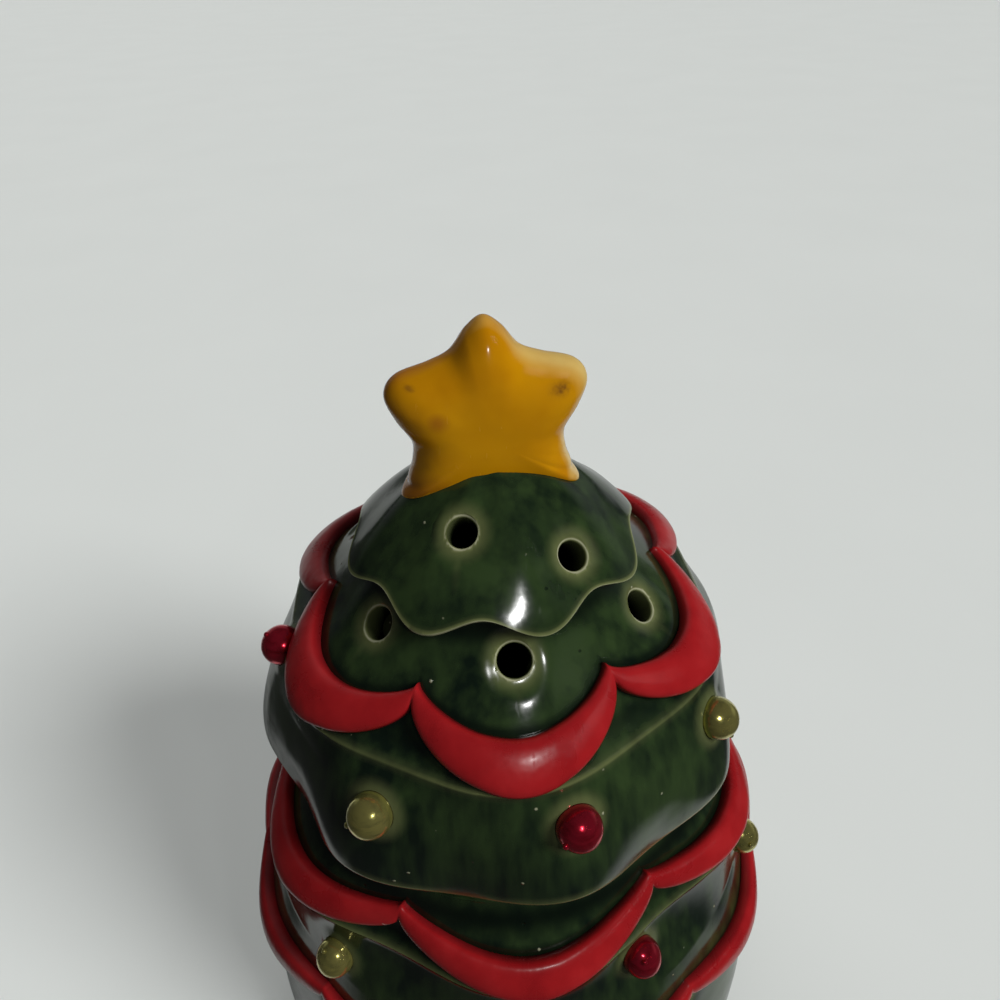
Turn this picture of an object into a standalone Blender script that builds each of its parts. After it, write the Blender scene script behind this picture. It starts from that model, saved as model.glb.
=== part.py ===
"""Ceramic christmas tree wax warmer.

A glazed tree in two halves. The lower half is a hollow base with a doorway at the
back for a tealight. The upper half lifts off as a lid, over a bowl for wax melts.
Metres, +Z up, origin at the centre of the foot, front of the tree towards -Y.
"""
import bpy
import bmesh
from math import atan2, cos, hypot, pi, radians, sin, sqrt
from collections import namedtuple
from mathutils import Matrix, Vector

# Facets round the tree and round smaller turned pieces
FACETS = 60
BOWL_FACETS = 30
TEALIGHT_FACETS = 24
TAB_FACETS = 12
WICK_FACETS = 8
VENT_FACETS = 16
ARCH_FACETS = 12
BEAD_FACETS = 10
BEAD_RINGS = 7

# Rings in the outline of each tier
CROWN_RINGS = 5
SECOND_TIER_RINGS = 5
THIRD_TIER_RINGS = 6
SHOULDER_RINGS = 4
WAIST_RINGS = 6
FOOT_RINGS = 5
BOWL_RINGS = 5

# Glazed walls and the clearances between pieces
LID_WALL = 0.0045
BASE_WALL = 0.0045
SEAT_GAP = 0.0003
RIM_CLEARANCE = 0.0005
STAR_GAP = 0.00045

# Crown, the top tier of the lid: a bell with soft lobes at its hem. Every height on the lid is
# a rise above the rim of the base, which carries it
CROWN_TIP_RISE = 0.072
CROWN_HEM_RADIUS = 0.0268
CROWN_HEM_RISE = 0.053
CROWN_LIP = 0.0011
CROWN_SWELL = 0.0012
CROWN_DROP = 0.0014
CROWN_LOBES = 8
CROWN_LOBE_ANGLE = radians(18)

# Second tier of the lid, which carries the upper garland
NECK_RADIUS = 0.0240
NECK_RISE = 0.0517
UPPER_CREST_RADIUS = 0.0423
UPPER_CREST_RISE = 0.0335
UPPER_SWELL = 0.0012

# Third tier of the lid, whose hem hangs over the base and lifts where a lobe flares out
LID_HEM_RADIUS = 0.0495
LID_HEM_RISE = 0.0093
LID_LIP = 0.0014
LID_SWELL = 0.0018
LID_DROP = -0.0016
LID_LOBES = 8
LID_LOBE_ANGLE = radians(12)
LID_GROOVE_FOLLOW = 0.5

# Rim of the base, the lid's seat on it and the lid's locating flange inside it
RIM_HEIGHT = 0.100
RIM_OUTER_RADIUS = 0.0445
RIM_BORE_RADIUS = 0.0403
FLANGE_DEPTH = 0.0055
FLANGE_WALL = 0.003

# Tiers of the base: shoulder, middle skirt and the broad foot. The middle crest is measured down
# from the rim, the lower crest up from the floor
MIDDLE_CREST_RADIUS = 0.0540
MIDDLE_CREST_DROP = 0.013
MIDDLE_SWELL = 0.0022
LOWER_CREST_RADIUS = 0.0608
LOWER_CREST_HEIGHT = 0.057
LOWER_SWELL = 0.0012
BASE_RADIUS = 0.066
BASE_HEM_HEIGHT = 0.014
FOOT_RADIUS = 0.061
FOOT_RING_WIDTH = 0.007
FOOT_RECESS = 0.0012
FLOOR_THICKNESS = 0.005

# Ledge inside the base, below the rim, that carries the bowl
LEDGE_DEPTH = 0.012
LEDGE_BORE_RADIUS = 0.0362
LEDGE_THICKNESS = 0.0038

# Doorway at the back of the base. Its sill lies a little below the floor, and the opening is
# cut from inside the chamber wall, its reach measured in from the foot
DOORWAY_WIDTH = 0.046
DOORWAY_HEIGHT = 0.044
DOORWAY_SILL_DEPTH = 0.0005
DOORWAY_REACH = 0.015

# Garlands hang in swags between points. The angles are those of their first points. The upper and
# the middle garland are placed by heights from the rim, the lower one by heights from the floor
UPPER_SWAGS = 6
LOWER_SWAGS = 9
UPPER_POINT_ANGLE = radians(35)
LOWER_POINT_ANGLE = radians(-1.6)
SWAG_FULLNESS = 0.62
GARLAND_ROUNDNESS = 0.7
POINT_RELIEF = 0.6
GARLAND_SIDES = 8
FACETS_PER_SWAG = 8
UPPER_GARLAND = dict(points=0.0418, swags=0.0362, point_width=0.0036, swag_width=0.0090, relief=0.0030)
MIDDLE_GARLAND = dict(points=-0.0050, swags=-0.0102, point_width=0.0034, swag_width=0.0072, relief=0.0032)
LOWER_GARLAND = dict(points=0.0632, swags=0.0592, point_width=0.0034, swag_width=0.0080, relief=0.0036)

# Vent holes. Those of the lid are drilled by eye, each at its own angle and height
CROWN_VENTS = ((-20, 0.0634), (42, 0.0582), (152, 0.0610), (218, 0.0610))
CROWN_VENT_RADIUS = 0.0027
TIER_VENTS = ((-50, 0.0464), (6, 0.0464), (63, 0.0440), (127, 0.0425), (185, 0.0455), (244, 0.0450))
TIER_VENT_RADIUS = 0.003
BASE_VENT_HEIGHT = 0.0525
BASE_VENT_RADIUS = 0.003
VENT_REACH = 0.007

# Ball ornaments, red and gold in turn, each set by eye at its own angle and height from the rim
BEAD_RADIUS = 0.0039
BEAD_STAND = 0.0009
UPPER_BEADS = ((-77, 0.0325), (-28, 0.0259), (15, 0.0263), (57, 0.0263),
               (126, 0.0262), (162, 0.0255), (198, 0.0260), (234, 0.0265))
LOWER_BEADS = ((-98, -0.0210), (-39, -0.0227), (28, -0.0180), (68, -0.0235),
               (115, -0.0205), (154, -0.0210), (193, -0.0205), (229, -0.0210))

# Star: half of its outline as shares of half its span and of its height, from the tip down,
# and the shares of the outline that its domed faces are built from
STAR_SPAN = 0.0336
STAR_HEIGHT = 0.0335
STAR_SINK = 0.0105
STAR_THICKNESS = 0.0126
STAR_TURN = radians(7.5)
STAR_MIDDLE = 0.30
STAR_STEPS_PER_KNOT = 2
STAR_HALF_OUTLINE = ((0.00, 1.00), (0.17, 0.945), (0.34, 0.836), (0.56, 0.785), (0.88, 0.735), (1.00, 0.645),
                     (0.93, 0.520), (0.785, 0.379), (0.80, 0.250), (0.87, 0.130), (0.82, 0.000))
STAR_FACE_SHARES = (0.30, 0.58, 0.80, 0.94)

# Bowl for the wax melts
BOWL_FLANGE_THICKNESS = 0.003
BOWL_DEPTH = 0.021
BOWL_MOUTH_RADIUS = 0.0335
BOWL_FLOOR_RADIUS = 0.017
BOWL_WALL = 0.003
BOWL_EDGE = 0.0008

# Tealight
TEALIGHT_RADIUS = 0.019
TEALIGHT_HEIGHT = 0.0125
TEALIGHT_WALL = 0.0005
WAX_HEIGHT = 0.0105
TAB_RADIUS = 0.006
TAB_THICKNESS = 0.0005
COLLAR_RADIUS = 0.0018
COLLAR_HEIGHT = 0.004
WICK_RADIUS = 0.0009
WICK_TOP = 0.0175

COLLECTION_NAME = "christmas_tree_wax_warmer"

# One ring of the outline: its size, how far a lobe swells and drops there, and which lobes it follows
Row = namedtuple("Row", "radius height swell drop lobes", defaults=(0.0, 0.0, "swag"))
LOBES = {
    "crown": (CROWN_LOBES, CROWN_LOBE_ANGLE),
    "lid": (LID_LOBES, LID_LOBE_ANGLE),
    "swag": (UPPER_SWAGS, UPPER_POINT_ANGLE - pi / UPPER_SWAGS),
    "lower": (LOWER_SWAGS, LOWER_POINT_ANGLE - pi / LOWER_SWAGS),
}


def clear_scene():
    for old in list(bpy.data.objects):
        bpy.data.objects.remove(old, do_unlink=True)


def new_collection(name):
    collection = bpy.data.collections.new(name)
    bpy.context.scene.collection.children.link(collection)
    return collection


def make_material(name, colour, roughness, metallic=0.0):
    material = bpy.data.materials.new(name)
    material.use_nodes = True
    shader = material.node_tree.nodes["Principled BSDF"]
    shader.inputs["Base Color"].default_value = (*colour, 1.0)
    shader.inputs["Roughness"].default_value = roughness
    shader.inputs["Metallic"].default_value = metallic
    material.diffuse_color = (*colour, 1.0)
    return material


def place(name, mesh, collection, material=None):
    piece = bpy.data.objects.new(name, mesh)
    collection.objects.link(piece)
    if material:
        mesh.materials.append(material)
        mesh.shade_smooth()
        mesh.set_sharp_from_angle(angle=radians(40))
    return piece


def as_cutter(piece):
    piece.hide_render = True
    piece.display_type = "WIRE"
    return piece


def cut(piece, cutter):
    modifier = piece.modifiers.new("cut_" + cutter.name, "BOOLEAN")
    modifier.operation = "DIFFERENCE"
    modifier.solver = "EXACT"
    modifier.object = cutter


def ring_point(radius, angle, height):
    """Angle 0 is the front of the tree and angles grow towards +X."""
    return Vector((radius * sin(angle), -radius * cos(angle), height))


def lobed(row, angle):
    count, first = LOBES[row.lobes]
    wave = cos(count * (angle - first))
    return row.radius + row.swell * wave, row.height - row.drop * wave


def turned(name, rows, collection, material=None, facets=FACETS):
    """Turn an outline that runs down the outside, then let each ring follow its lobes."""
    profile = bpy.data.meshes.new(name + "_profile")
    points = [(row.radius, 0.0, row.height) for row in rows]
    closed = rows[0].radius > 0.0
    edges = [(i, i + 1) for i in range(len(rows) - 1)]
    if closed:
        edges.append((len(rows) - 1, 0))
    profile.from_pydata(points, edges, [])
    blank = bpy.data.objects.new(name + "_blank", profile)
    collection.objects.link(blank)
    screw = blank.modifiers.new("turn", "SCREW")
    screw.axis = "Z"
    screw.steps = facets
    screw.render_steps = facets
    screw.use_merge_vertices = True
    screw.merge_threshold = 0.00001
    evaluated = blank.evaluated_get(bpy.context.evaluated_depsgraph_get())
    mesh = bpy.data.meshes.new_from_object(evaluated)
    bpy.data.objects.remove(blank, do_unlink=True)
    for vertex in mesh.vertices:
        radius, height = hypot(vertex.co.x, vertex.co.y), vertex.co.z
        row = min(rows, key=lambda r: hypot(r.radius - radius, r.height - height))
        if row.swell or row.drop:
            angle = atan2(vertex.co.x, -vertex.co.y)
            vertex.co = ring_point(lobed(row, angle)[0], angle, lobed(row, angle)[1])
    mesh.name = name
    return place(name, mesh, collection, material)


class Surface:
    """The outside of a glazed shell, followed by distance down its outline and by angle.
    Heights on it are measured from datum."""

    def __init__(self, rows, datum):
        self.rows = rows
        self.datum = datum
        self.marks = [0.0]
        for above, below in zip(rows, rows[1:]):
            step = hypot(below.radius - above.radius, below.height - above.height)
            self.marks.append(self.marks[-1] + step)

    def at_height(self, height):
        height += self.datum
        for i, (above, below) in enumerate(zip(self.rows, self.rows[1:])):
            if above.height >= height > below.height:
                share = (above.height - height) / (above.height - below.height)
                return self.marks[i] + share * (self.marks[i + 1] - self.marks[i])
        return self.marks[-1]

    def point(self, along, angle):
        i = 0
        while i < len(self.rows) - 2 and self.marks[i + 1] < along:
            i += 1
        share = (along - self.marks[i]) / (self.marks[i + 1] - self.marks[i])
        above = lobed(self.rows[i], angle)
        below = lobed(self.rows[i + 1], angle)
        radius = above[0] + share * (below[0] - above[0])
        height = above[1] + share * (below[1] - above[1])
        return ring_point(radius, angle, height)

    def normal(self, along, angle):
        reach = 0.001
        turn = radians(2)
        down = self.point(along + reach, angle) - self.point(along - reach, angle)
        across = self.point(along, angle + turn) - self.point(along, angle - turn)
        return down.cross(across).normalized()


def tier(top, hem, steps, bow, swell=0.0, drop=0.0, lobes="swag"):
    """Rings of one tier, below its top. bow gives the share of the radius at a share of the fall."""
    rows = []
    for i in range(1, steps + 1):
        t = i / steps
        radius = top[0] + (hem[0] - top[0]) * bow(t)
        height = top[1] + (hem[1] - top[1]) * t
        rows.append(Row(radius, height, swell * t, drop * t ** 3, lobes))
    return rows


def rolled_lip(hem, lip, turns):
    """Rings that roll a hem under, each a turn in degrees below level."""
    rows = []
    for turn in turns:
        radius = hem.radius - lip + lip * cos(radians(turn))
        rows.append(Row(radius, hem.height - lip * sin(radians(turn)), hem.swell, hem.drop, hem.lobes))
    return rows


def inset(rows, wall, keep):
    """Plain rings a wall's thickness inside the rows that keep lists, from the bottom up."""
    inner = []
    for i in reversed(keep):
        above, below = rows[max(i - 1, 0)], rows[min(i + 1, len(rows) - 1)]
        run = Vector((below.radius - above.radius, below.height - above.height)).normalized()
        inner.append(Row(rows[i].radius + run.y * wall, rows[i].height - run.x * wall))
    return inner


def bell(t):
    return t ** 0.67


def slope(t):
    return t ** 1.12


def straight(t):
    return t


def flare(t):
    return 1 - (1 - t) ** 1.9


def settle(t):
    return t * t * (3 - 2 * t)


def belly(t):
    return sin(pi / 2 * t ** 1.2)


def garland(name, surface, sizes, swags, point_angle, collection, material):
    """A relief band that follows the glaze, made by reshaping a ring. sag is 0 at its points, 1 mid-swag."""
    bpy.ops.mesh.primitive_torus_add(major_segments=swags * FACETS_PER_SWAG,
                                     minor_segments=GARLAND_SIDES, major_radius=1, minor_radius=0.25)
    ring = bpy.context.object
    mesh = ring.data
    top, bottom = surface.at_height(sizes["points"]), surface.at_height(sizes["swags"])
    for vertex in mesh.vertices:
        turn = atan2(vertex.co.y, vertex.co.x)
        tube = atan2(vertex.co.z, hypot(vertex.co.x, vertex.co.y) - 1)
        sag = abs(sin(swags / 2 * turn)) ** SWAG_FULLNESS
        width = sizes["point_width"] + (sizes["swag_width"] - sizes["point_width"]) * sag
        along = top + (bottom - top) * sag - sin(tube) * width / 2
        relief = sizes["relief"] * (POINT_RELIEF + (1 - POINT_RELIEF) * sag)
        lift = SEAT_GAP + relief * max(cos(tube), 0.0) ** GARLAND_ROUNDNESS
        angle = point_angle + turn
        vertex.co = surface.point(along, angle) + surface.normal(along, angle) * lift
    bpy.data.objects.remove(ring, do_unlink=True)
    mesh.name = name
    return place(name, mesh, collection, material)


def drill(name, holes, radius, collection):
    """One cutter with a round bar along each (point, direction)."""
    bm = bmesh.new()
    for point, direction in holes:
        turn = direction.to_track_quat("Z", "Y").to_matrix().to_4x4()
        bmesh.ops.create_cone(bm, cap_ends=True, segments=VENT_FACETS, radius1=radius, radius2=radius,
                              depth=2 * VENT_REACH, matrix=Matrix.Translation(point) @ turn)
    mesh = bpy.data.meshes.new(name)
    bm.to_mesh(mesh)
    bm.free()
    return as_cutter(place(name, mesh, collection))


def surface_place(surface, height, angle):
    """A point on the glaze and the direction out of it there."""
    along = surface.at_height(height)
    return surface.point(along, angle), surface.normal(along, angle)


def on_surface(surface, marks):
    """A point on the glaze and the direction out of it for each (degrees, height)."""
    return [surface_place(surface, height, radians(degrees)) for degrees, height in marks]


def bead_centres(surface, marks):
    return [point + outward * BEAD_STAND for point, outward in on_surface(surface, marks)]


def balls(name, centres, radius, collection, material=None):
    bm = bmesh.new()
    for centre in centres:
        bmesh.ops.create_uvsphere(bm, u_segments=BEAD_FACETS, v_segments=BEAD_RINGS, radius=radius,
                                  matrix=Matrix.Translation(centre))
    mesh = bpy.data.meshes.new(name)
    bm.to_mesh(mesh)
    bm.free()
    return place(name, mesh, collection, material)


def beads(level, centres, collection):
    """One ball for each centre, red and gold in turn."""
    for i, centre in enumerate(centres):
        colour, material = (("red", red_ball), ("gold", gold_ball))[i % 2]
        balls(f"{level}_bead_{colour}_{i // 2 + 1}", [centre], BEAD_RADIUS, collection, material)


def round_outline(knots, steps):
    """A closed smooth curve through the knots."""
    points = []
    count = len(knots)
    for i in range(count):
        before, start, end, after = (Vector(knots[(i + k) % count]) for k in (-1, 0, 1, 2))
        for step in range(steps):
            t = step / steps
            points.append(0.5 * (2 * start + (end - before) * t
                                 + (2 * before - 5 * start + 4 * end - after) * t ** 2
                                 + (3 * start - before - 3 * end + after) * t ** 3))
    return points


def star(name, foot, collection, material):
    """A puffed star that stands on edge: rings of its outline that dome out to the front and the back."""
    left = [(-x, z) for x, z in reversed(STAR_HALF_OUTLINE[1:])]
    outline = round_outline(list(STAR_HALF_OUTLINE) + left, STAR_STEPS_PER_KNOT)
    domes = [(share, sqrt(1 - share * share)) for share in STAR_FACE_SHARES]
    bm = bmesh.new()
    rings = []
    for share, depth in [(s, -d) for s, d in domes] + [(1.0, 0.0)] + domes[::-1]:
        ring = []
        for x, z in outline:
            across = x * share * STAR_SPAN / 2
            up = foot + (STAR_MIDDLE + (z - STAR_MIDDLE) * share) * STAR_HEIGHT
            ring.append(bm.verts.new((across, depth * STAR_THICKNESS / 2, up)))
        rings.append(ring)
    for front, back in zip(rings, rings[1:]):
        for i in range(len(outline)):
            j = (i + 1) % len(outline)
            bm.faces.new((front[i], back[i], back[j], front[j]))
    bm.faces.new(rings[0])
    bm.faces.new(list(reversed(rings[-1])))
    bmesh.ops.recalc_face_normals(bm, faces=bm.faces)
    bmesh.ops.rotate(bm, verts=bm.verts, matrix=Matrix.Rotation(STAR_TURN, 3, "Z"))
    mesh = bpy.data.meshes.new(name)
    bm.to_mesh(mesh)
    bm.free()
    return place(name, mesh, collection, material)


def arch_cutter(name, width, height, sill, start, end, collection):
    """A bar with a round top that cuts along +Y from start to end."""
    radius = width / 2
    outline = [(-radius, sill), (radius, sill)]
    for i in range(ARCH_FACETS + 1):
        turn = pi * i / ARCH_FACETS
        outline.append((radius * cos(turn), sill + height - radius + radius * sin(turn)))
    curve = bpy.data.curves.new(name, "CURVE")
    curve.dimensions = "2D"
    curve.fill_mode = "BOTH"
    curve.extrude = (end - start) / 2
    spline = curve.splines.new("POLY")
    spline.points.add(len(outline) - 1)
    for point, (x, z) in zip(spline.points, outline):
        point.co = (x, z, 0.0, 1.0)
    spline.use_cyclic_u = True
    guide = bpy.data.objects.new(name + "_outline", curve)
    guide.matrix_world = Matrix.Translation((0, (start + end) / 2, 0)) @ Matrix.Rotation(pi / 2, 4, "X")
    collection.objects.link(guide)
    bpy.context.view_layer.update()
    mesh = bpy.data.meshes.new_from_object(guide.evaluated_get(bpy.context.evaluated_depsgraph_get()))
    mesh.transform(guide.matrix_world)
    bpy.data.objects.remove(guide, do_unlink=True)
    bm = bmesh.new()
    bm.from_mesh(mesh)
    bmesh.ops.remove_doubles(bm, verts=bm.verts, dist=0.00001)
    bmesh.ops.recalc_face_normals(bm, faces=bm.faces)
    bm.to_mesh(mesh)
    bm.free()
    return as_cutter(place(name, mesh, collection))


clear_scene()
parts = new_collection(COLLECTION_NAME)
cutters = new_collection("cutters")

green_glaze = make_material("green_glaze", (0.016, 0.055, 0.026), 0.12)
red_glaze = make_material("red_glaze", (0.42, 0.012, 0.014), 0.38)
gold_glaze = make_material("gold_glaze", (0.62, 0.33, 0.01), 0.22)
red_ball = make_material("red_ball", (0.45, 0.01, 0.02), 0.12, 0.9)
gold_ball = make_material("gold_ball", (0.48, 0.44, 0.10), 0.12, 0.9)
bowl_glaze = make_material("bowl_glaze", (0.016, 0.055, 0.026), 0.15)
tealight_metal = make_material("tealight_metal", (0.78, 0.79, 0.80), 0.3, 1.0)
tealight_wax = make_material("candle_wax", (0.86, 0.84, 0.78), 0.5)
wick_cotton = make_material("wick_cotton", (0.80, 0.77, 0.68), 0.9)

# Outside of the lid, tier by tier
crown_top = (0.0, RIM_HEIGHT + CROWN_TIP_RISE)
crown_hem = (CROWN_HEM_RADIUS, RIM_HEIGHT + CROWN_HEM_RISE)
crown_rows = [Row(*crown_top)]
crown_rows += tier(crown_top, crown_hem, CROWN_RINGS, bell, CROWN_SWELL, CROWN_DROP, "crown")
crown_lip = rolled_lip(crown_rows[-1], CROWN_LIP, (60, 120))
neck = (NECK_RADIUS, RIM_HEIGHT + NECK_RISE)
upper_crest = (UPPER_CREST_RADIUS, RIM_HEIGHT + UPPER_CREST_RISE)
lid_hem = (LID_HEM_RADIUS, RIM_HEIGHT + LID_HEM_RISE)
second_tier = tier(neck, upper_crest, SECOND_TIER_RINGS, slope, UPPER_SWELL)
third_tier = tier(upper_crest, lid_hem, THIRD_TIER_RINGS, flare, LID_SWELL, LID_DROP, "lid")
lid_lip = rolled_lip(third_tier[-1], LID_LIP, (45, 90, 150))
lip_inside = lid_lip[-1]
lid_skirts = [Row(*neck)] + second_tier + third_tier

# Underside of the lid: its seat on the rim and the flange that drops inside it
seat_height = RIM_HEIGHT + SEAT_GAP
flange_radius = RIM_BORE_RADIUS - RIM_CLEARANCE
flange_bore = flange_radius - FLANGE_WALL
groove_radius = (RIM_OUTER_RADIUS + lip_inside.radius) / 2
lid_seat = [
    Row(groove_radius, lip_inside.height + LID_LIP, LID_GROOVE_FOLLOW * LID_SWELL,
        LID_GROOVE_FOLLOW * LID_DROP, "lid"),
    Row(RIM_OUTER_RADIUS, seat_height),
    Row(flange_radius, seat_height),
    Row(flange_radius, RIM_HEIGHT - FLANGE_DEPTH),
    Row(flange_bore, RIM_HEIGHT - FLANGE_DEPTH),
    Row(flange_bore, RIM_HEIGHT),
]
lid_inside = inset(lid_skirts, LID_WALL, range(2, len(lid_skirts) - 2, 2))
lid_inside += inset(crown_rows, LID_WALL, range(1, len(crown_rows) - 2, 2))
lid_inside.append(Row(0.0, crown_top[1] - LID_WALL))
lid_rows = crown_rows + crown_lip + lid_skirts + lid_lip + lid_seat + lid_inside
lid_shell = turned("lid_shell", lid_rows, parts, green_glaze)
crown_surface = Surface(crown_rows, RIM_HEIGHT)
lid_surface = Surface(lid_skirts, RIM_HEIGHT)

# Vents through the lid
cut(lid_shell, drill("crown_vents", on_surface(crown_surface, CROWN_VENTS), CROWN_VENT_RADIUS, cutters))
cut(lid_shell, drill("tier_vents", on_surface(lid_surface, TIER_VENTS), TIER_VENT_RADIUS, cutters))

# Ball ornaments of the lid, each in its own socket, and the garland above them
upper_centres = bead_centres(lid_surface, UPPER_BEADS)
cut(lid_shell, as_cutter(balls("upper_sockets", upper_centres, BEAD_RADIUS + SEAT_GAP, cutters)))
beads("upper", upper_centres, parts)
garland("upper_garland", lid_surface, UPPER_GARLAND, UPPER_SWAGS, UPPER_POINT_ANGLE, parts, red_glaze)

# Star, trimmed to sit over the crown
star_topper = star("star_topper", crown_top[1] - STAR_SINK, parts, gold_glaze)
raised = [row._replace(height=row.height + STAR_GAP) for row in crown_rows]
star_seat = turned("star_seat", raised + [Row(0.0, crown_hem[1] - CROWN_DROP)], cutters)
cut(star_topper, as_cutter(star_seat))

# Outside of the base, from the rim down to the foot. The waist's lobes fade out halfway down,
# where those of the foot begin
middle_crest = (MIDDLE_CREST_RADIUS, RIM_HEIGHT - MIDDLE_CREST_DROP)
lower_crest = (LOWER_CREST_RADIUS, LOWER_CREST_HEIGHT)
base_hem = (BASE_RADIUS, BASE_HEM_HEIGHT)
rim_edge = Row(RIM_OUTER_RADIUS, RIM_HEIGHT)
shoulder = tier((RIM_OUTER_RADIUS, RIM_HEIGHT), middle_crest, SHOULDER_RINGS, straight, MIDDLE_SWELL)
waist = []
for i, row in enumerate(tier(middle_crest, lower_crest, WAIST_RINGS, settle), 1):
    fade = 1 - 2 * i / WAIST_RINGS
    if fade > 0:
        waist.append(row._replace(swell=MIDDLE_SWELL * fade))
    else:
        waist.append(row._replace(swell=-LOWER_SWELL * fade, lobes="lower"))
foot = []
for i, row in enumerate(tier(lower_crest, base_hem, FOOT_RINGS, belly), 1):
    foot.append(row._replace(swell=LOWER_SWELL * (1 - i / FOOT_RINGS), lobes="lower"))
edge_radius = FOOT_RADIUS + (BASE_RADIUS - FOOT_RADIUS) * cos(pi / 4)
foot_edge = [Row(edge_radius, BASE_HEM_HEIGHT * (1 - sin(pi / 4))), Row(FOOT_RADIUS, 0.0)]
base_skirts = [rim_edge] + shoulder + waist + foot

# Inside of the base: floor, chamber wall, the ledge for the bowl and the rim's bore
chamber_rows = waist + foot
chamber = [Row(row.radius - BASE_WALL, row.height) for row in reversed(chamber_rows[2::3])]
ledge_height = RIM_HEIGHT - LEDGE_DEPTH
ledge_under = ledge_height - LEDGE_THICKNESS
base_inside = [
    Row(0.0, FLOOR_THICKNESS),
    Row(FOOT_RADIUS - BASE_WALL, FLOOR_THICKNESS),
]
base_inside += chamber
base_inside += [
    Row(MIDDLE_CREST_RADIUS - 2 * BASE_WALL, ledge_under - LEDGE_THICKNESS / 2),
    Row(LEDGE_BORE_RADIUS, ledge_under),
    Row(LEDGE_BORE_RADIUS, ledge_height),
    Row(RIM_BORE_RADIUS, ledge_height),
    Row(RIM_BORE_RADIUS, RIM_HEIGHT),
]
ring_bore = FOOT_RADIUS - FOOT_RING_WIDTH
underside = [Row(ring_bore, 0.0), Row(ring_bore - FOOT_RECESS, FOOT_RECESS), Row(0.0, FOOT_RECESS)]
base_shell = turned("base_shell", base_inside + base_skirts + foot_edge + underside, parts, green_glaze)
waist_surface = Surface(base_skirts, RIM_HEIGHT)
foot_surface = Surface(base_skirts, 0.0)

# Doorway at the back, and vents under the points of the lower garland
doorway = arch_cutter("doorway", DOORWAY_WIDTH, DOORWAY_HEIGHT, FLOOR_THICKNESS - DOORWAY_SILL_DEPTH,
                      FOOT_RADIUS - DOORWAY_REACH, BASE_RADIUS + BASE_WALL, cutters)
cut(base_shell, doorway)
base_vents = []
for i in range(LOWER_SWAGS):
    under_point = LOWER_POINT_ANGLE + 2 * pi * i / LOWER_SWAGS
    base_vents.append(surface_place(foot_surface, BASE_VENT_HEIGHT, under_point))
cut(base_shell, drill("base_vents", base_vents, BASE_VENT_RADIUS, cutters))

# Ball ornaments of the base and its two garlands
lower_centres = bead_centres(waist_surface, LOWER_BEADS)
cut(base_shell, as_cutter(balls("lower_sockets", lower_centres, BEAD_RADIUS + SEAT_GAP, cutters)))
beads("lower", lower_centres, parts)
garland("middle_garland", waist_surface, MIDDLE_GARLAND, UPPER_SWAGS, UPPER_POINT_ANGLE, parts, red_glaze)
garland("lower_garland", foot_surface, LOWER_GARLAND, LOWER_SWAGS, LOWER_POINT_ANGLE, parts, red_glaze)

# Bowl for the wax melts, hung by its flange on the ledge
bowl_seat = ledge_height + SEAT_GAP
bowl_top = bowl_seat + BOWL_FLANGE_THICKNESS
bowl_spread = BOWL_MOUTH_RADIUS - BOWL_FLOOR_RADIUS
bowl_inside = []
bowl_outside = []
for i in range(BOWL_RINGS):
    turn = pi / 2 * i / BOWL_RINGS
    reach = BOWL_FLOOR_RADIUS + bowl_spread * sin(turn)
    fall = BOWL_DEPTH * cos(turn)
    bowl_inside.append(Row(reach - BOWL_WALL, bowl_top - fall))
    bowl_outside.append(Row(reach, bowl_top - BOWL_WALL - fall))
bowl_rows = [Row(0.0, bowl_top - BOWL_DEPTH)] + bowl_inside + [
    Row(BOWL_MOUTH_RADIUS - BOWL_WALL, bowl_top),
    Row(flange_radius - BOWL_EDGE, bowl_top),
    Row(flange_radius, bowl_top - BOWL_EDGE),
    Row(flange_radius, bowl_seat),
    Row(BOWL_MOUTH_RADIUS, bowl_seat),
] + bowl_outside[::-1] + [Row(0.0, bowl_top - BOWL_WALL - BOWL_DEPTH)]
turned("wax_bowl", bowl_rows, parts, bowl_glaze, BOWL_FACETS)

# Tealight that stands on the floor of the base
cup_foot = FLOOR_THICKNESS + SEAT_GAP
cup_floor = cup_foot + TEALIGHT_WALL
cup_bore = TEALIGHT_RADIUS - TEALIGHT_WALL
cup_rows = [
    Row(0.0, cup_floor),
    Row(cup_bore, cup_floor),
    Row(cup_bore, cup_foot + TEALIGHT_HEIGHT),
    Row(TEALIGHT_RADIUS, cup_foot + TEALIGHT_HEIGHT),
    Row(TEALIGHT_RADIUS, cup_foot),
    Row(0.0, cup_foot),
]
turned("tealight_cup", cup_rows, parts, tealight_metal, TEALIGHT_FACETS)

tab_foot = cup_floor + SEAT_GAP
tab_top = tab_foot + TAB_THICKNESS
collar_top = tab_foot + COLLAR_HEIGHT
collar_bore = WICK_RADIUS + SEAT_GAP
tab_rows = [
    Row(0.0, tab_top),
    Row(collar_bore, tab_top),
    Row(collar_bore, collar_top),
    Row(COLLAR_RADIUS, collar_top),
    Row(COLLAR_RADIUS, tab_top),
    Row(TAB_RADIUS, tab_top),
    Row(TAB_RADIUS, tab_foot),
    Row(0.0, tab_foot),
]
turned("wick_tab", tab_rows, parts, tealight_metal, TAB_FACETS)
wick_rows = [
    Row(0.0, cup_foot + WICK_TOP),
    Row(WICK_RADIUS, cup_foot + WICK_TOP),
    Row(WICK_RADIUS, tab_top + SEAT_GAP),
    Row(0.0, tab_top + SEAT_GAP),
]
turned("wick", wick_rows, parts, wick_cotton, WICK_FACETS)

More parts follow.
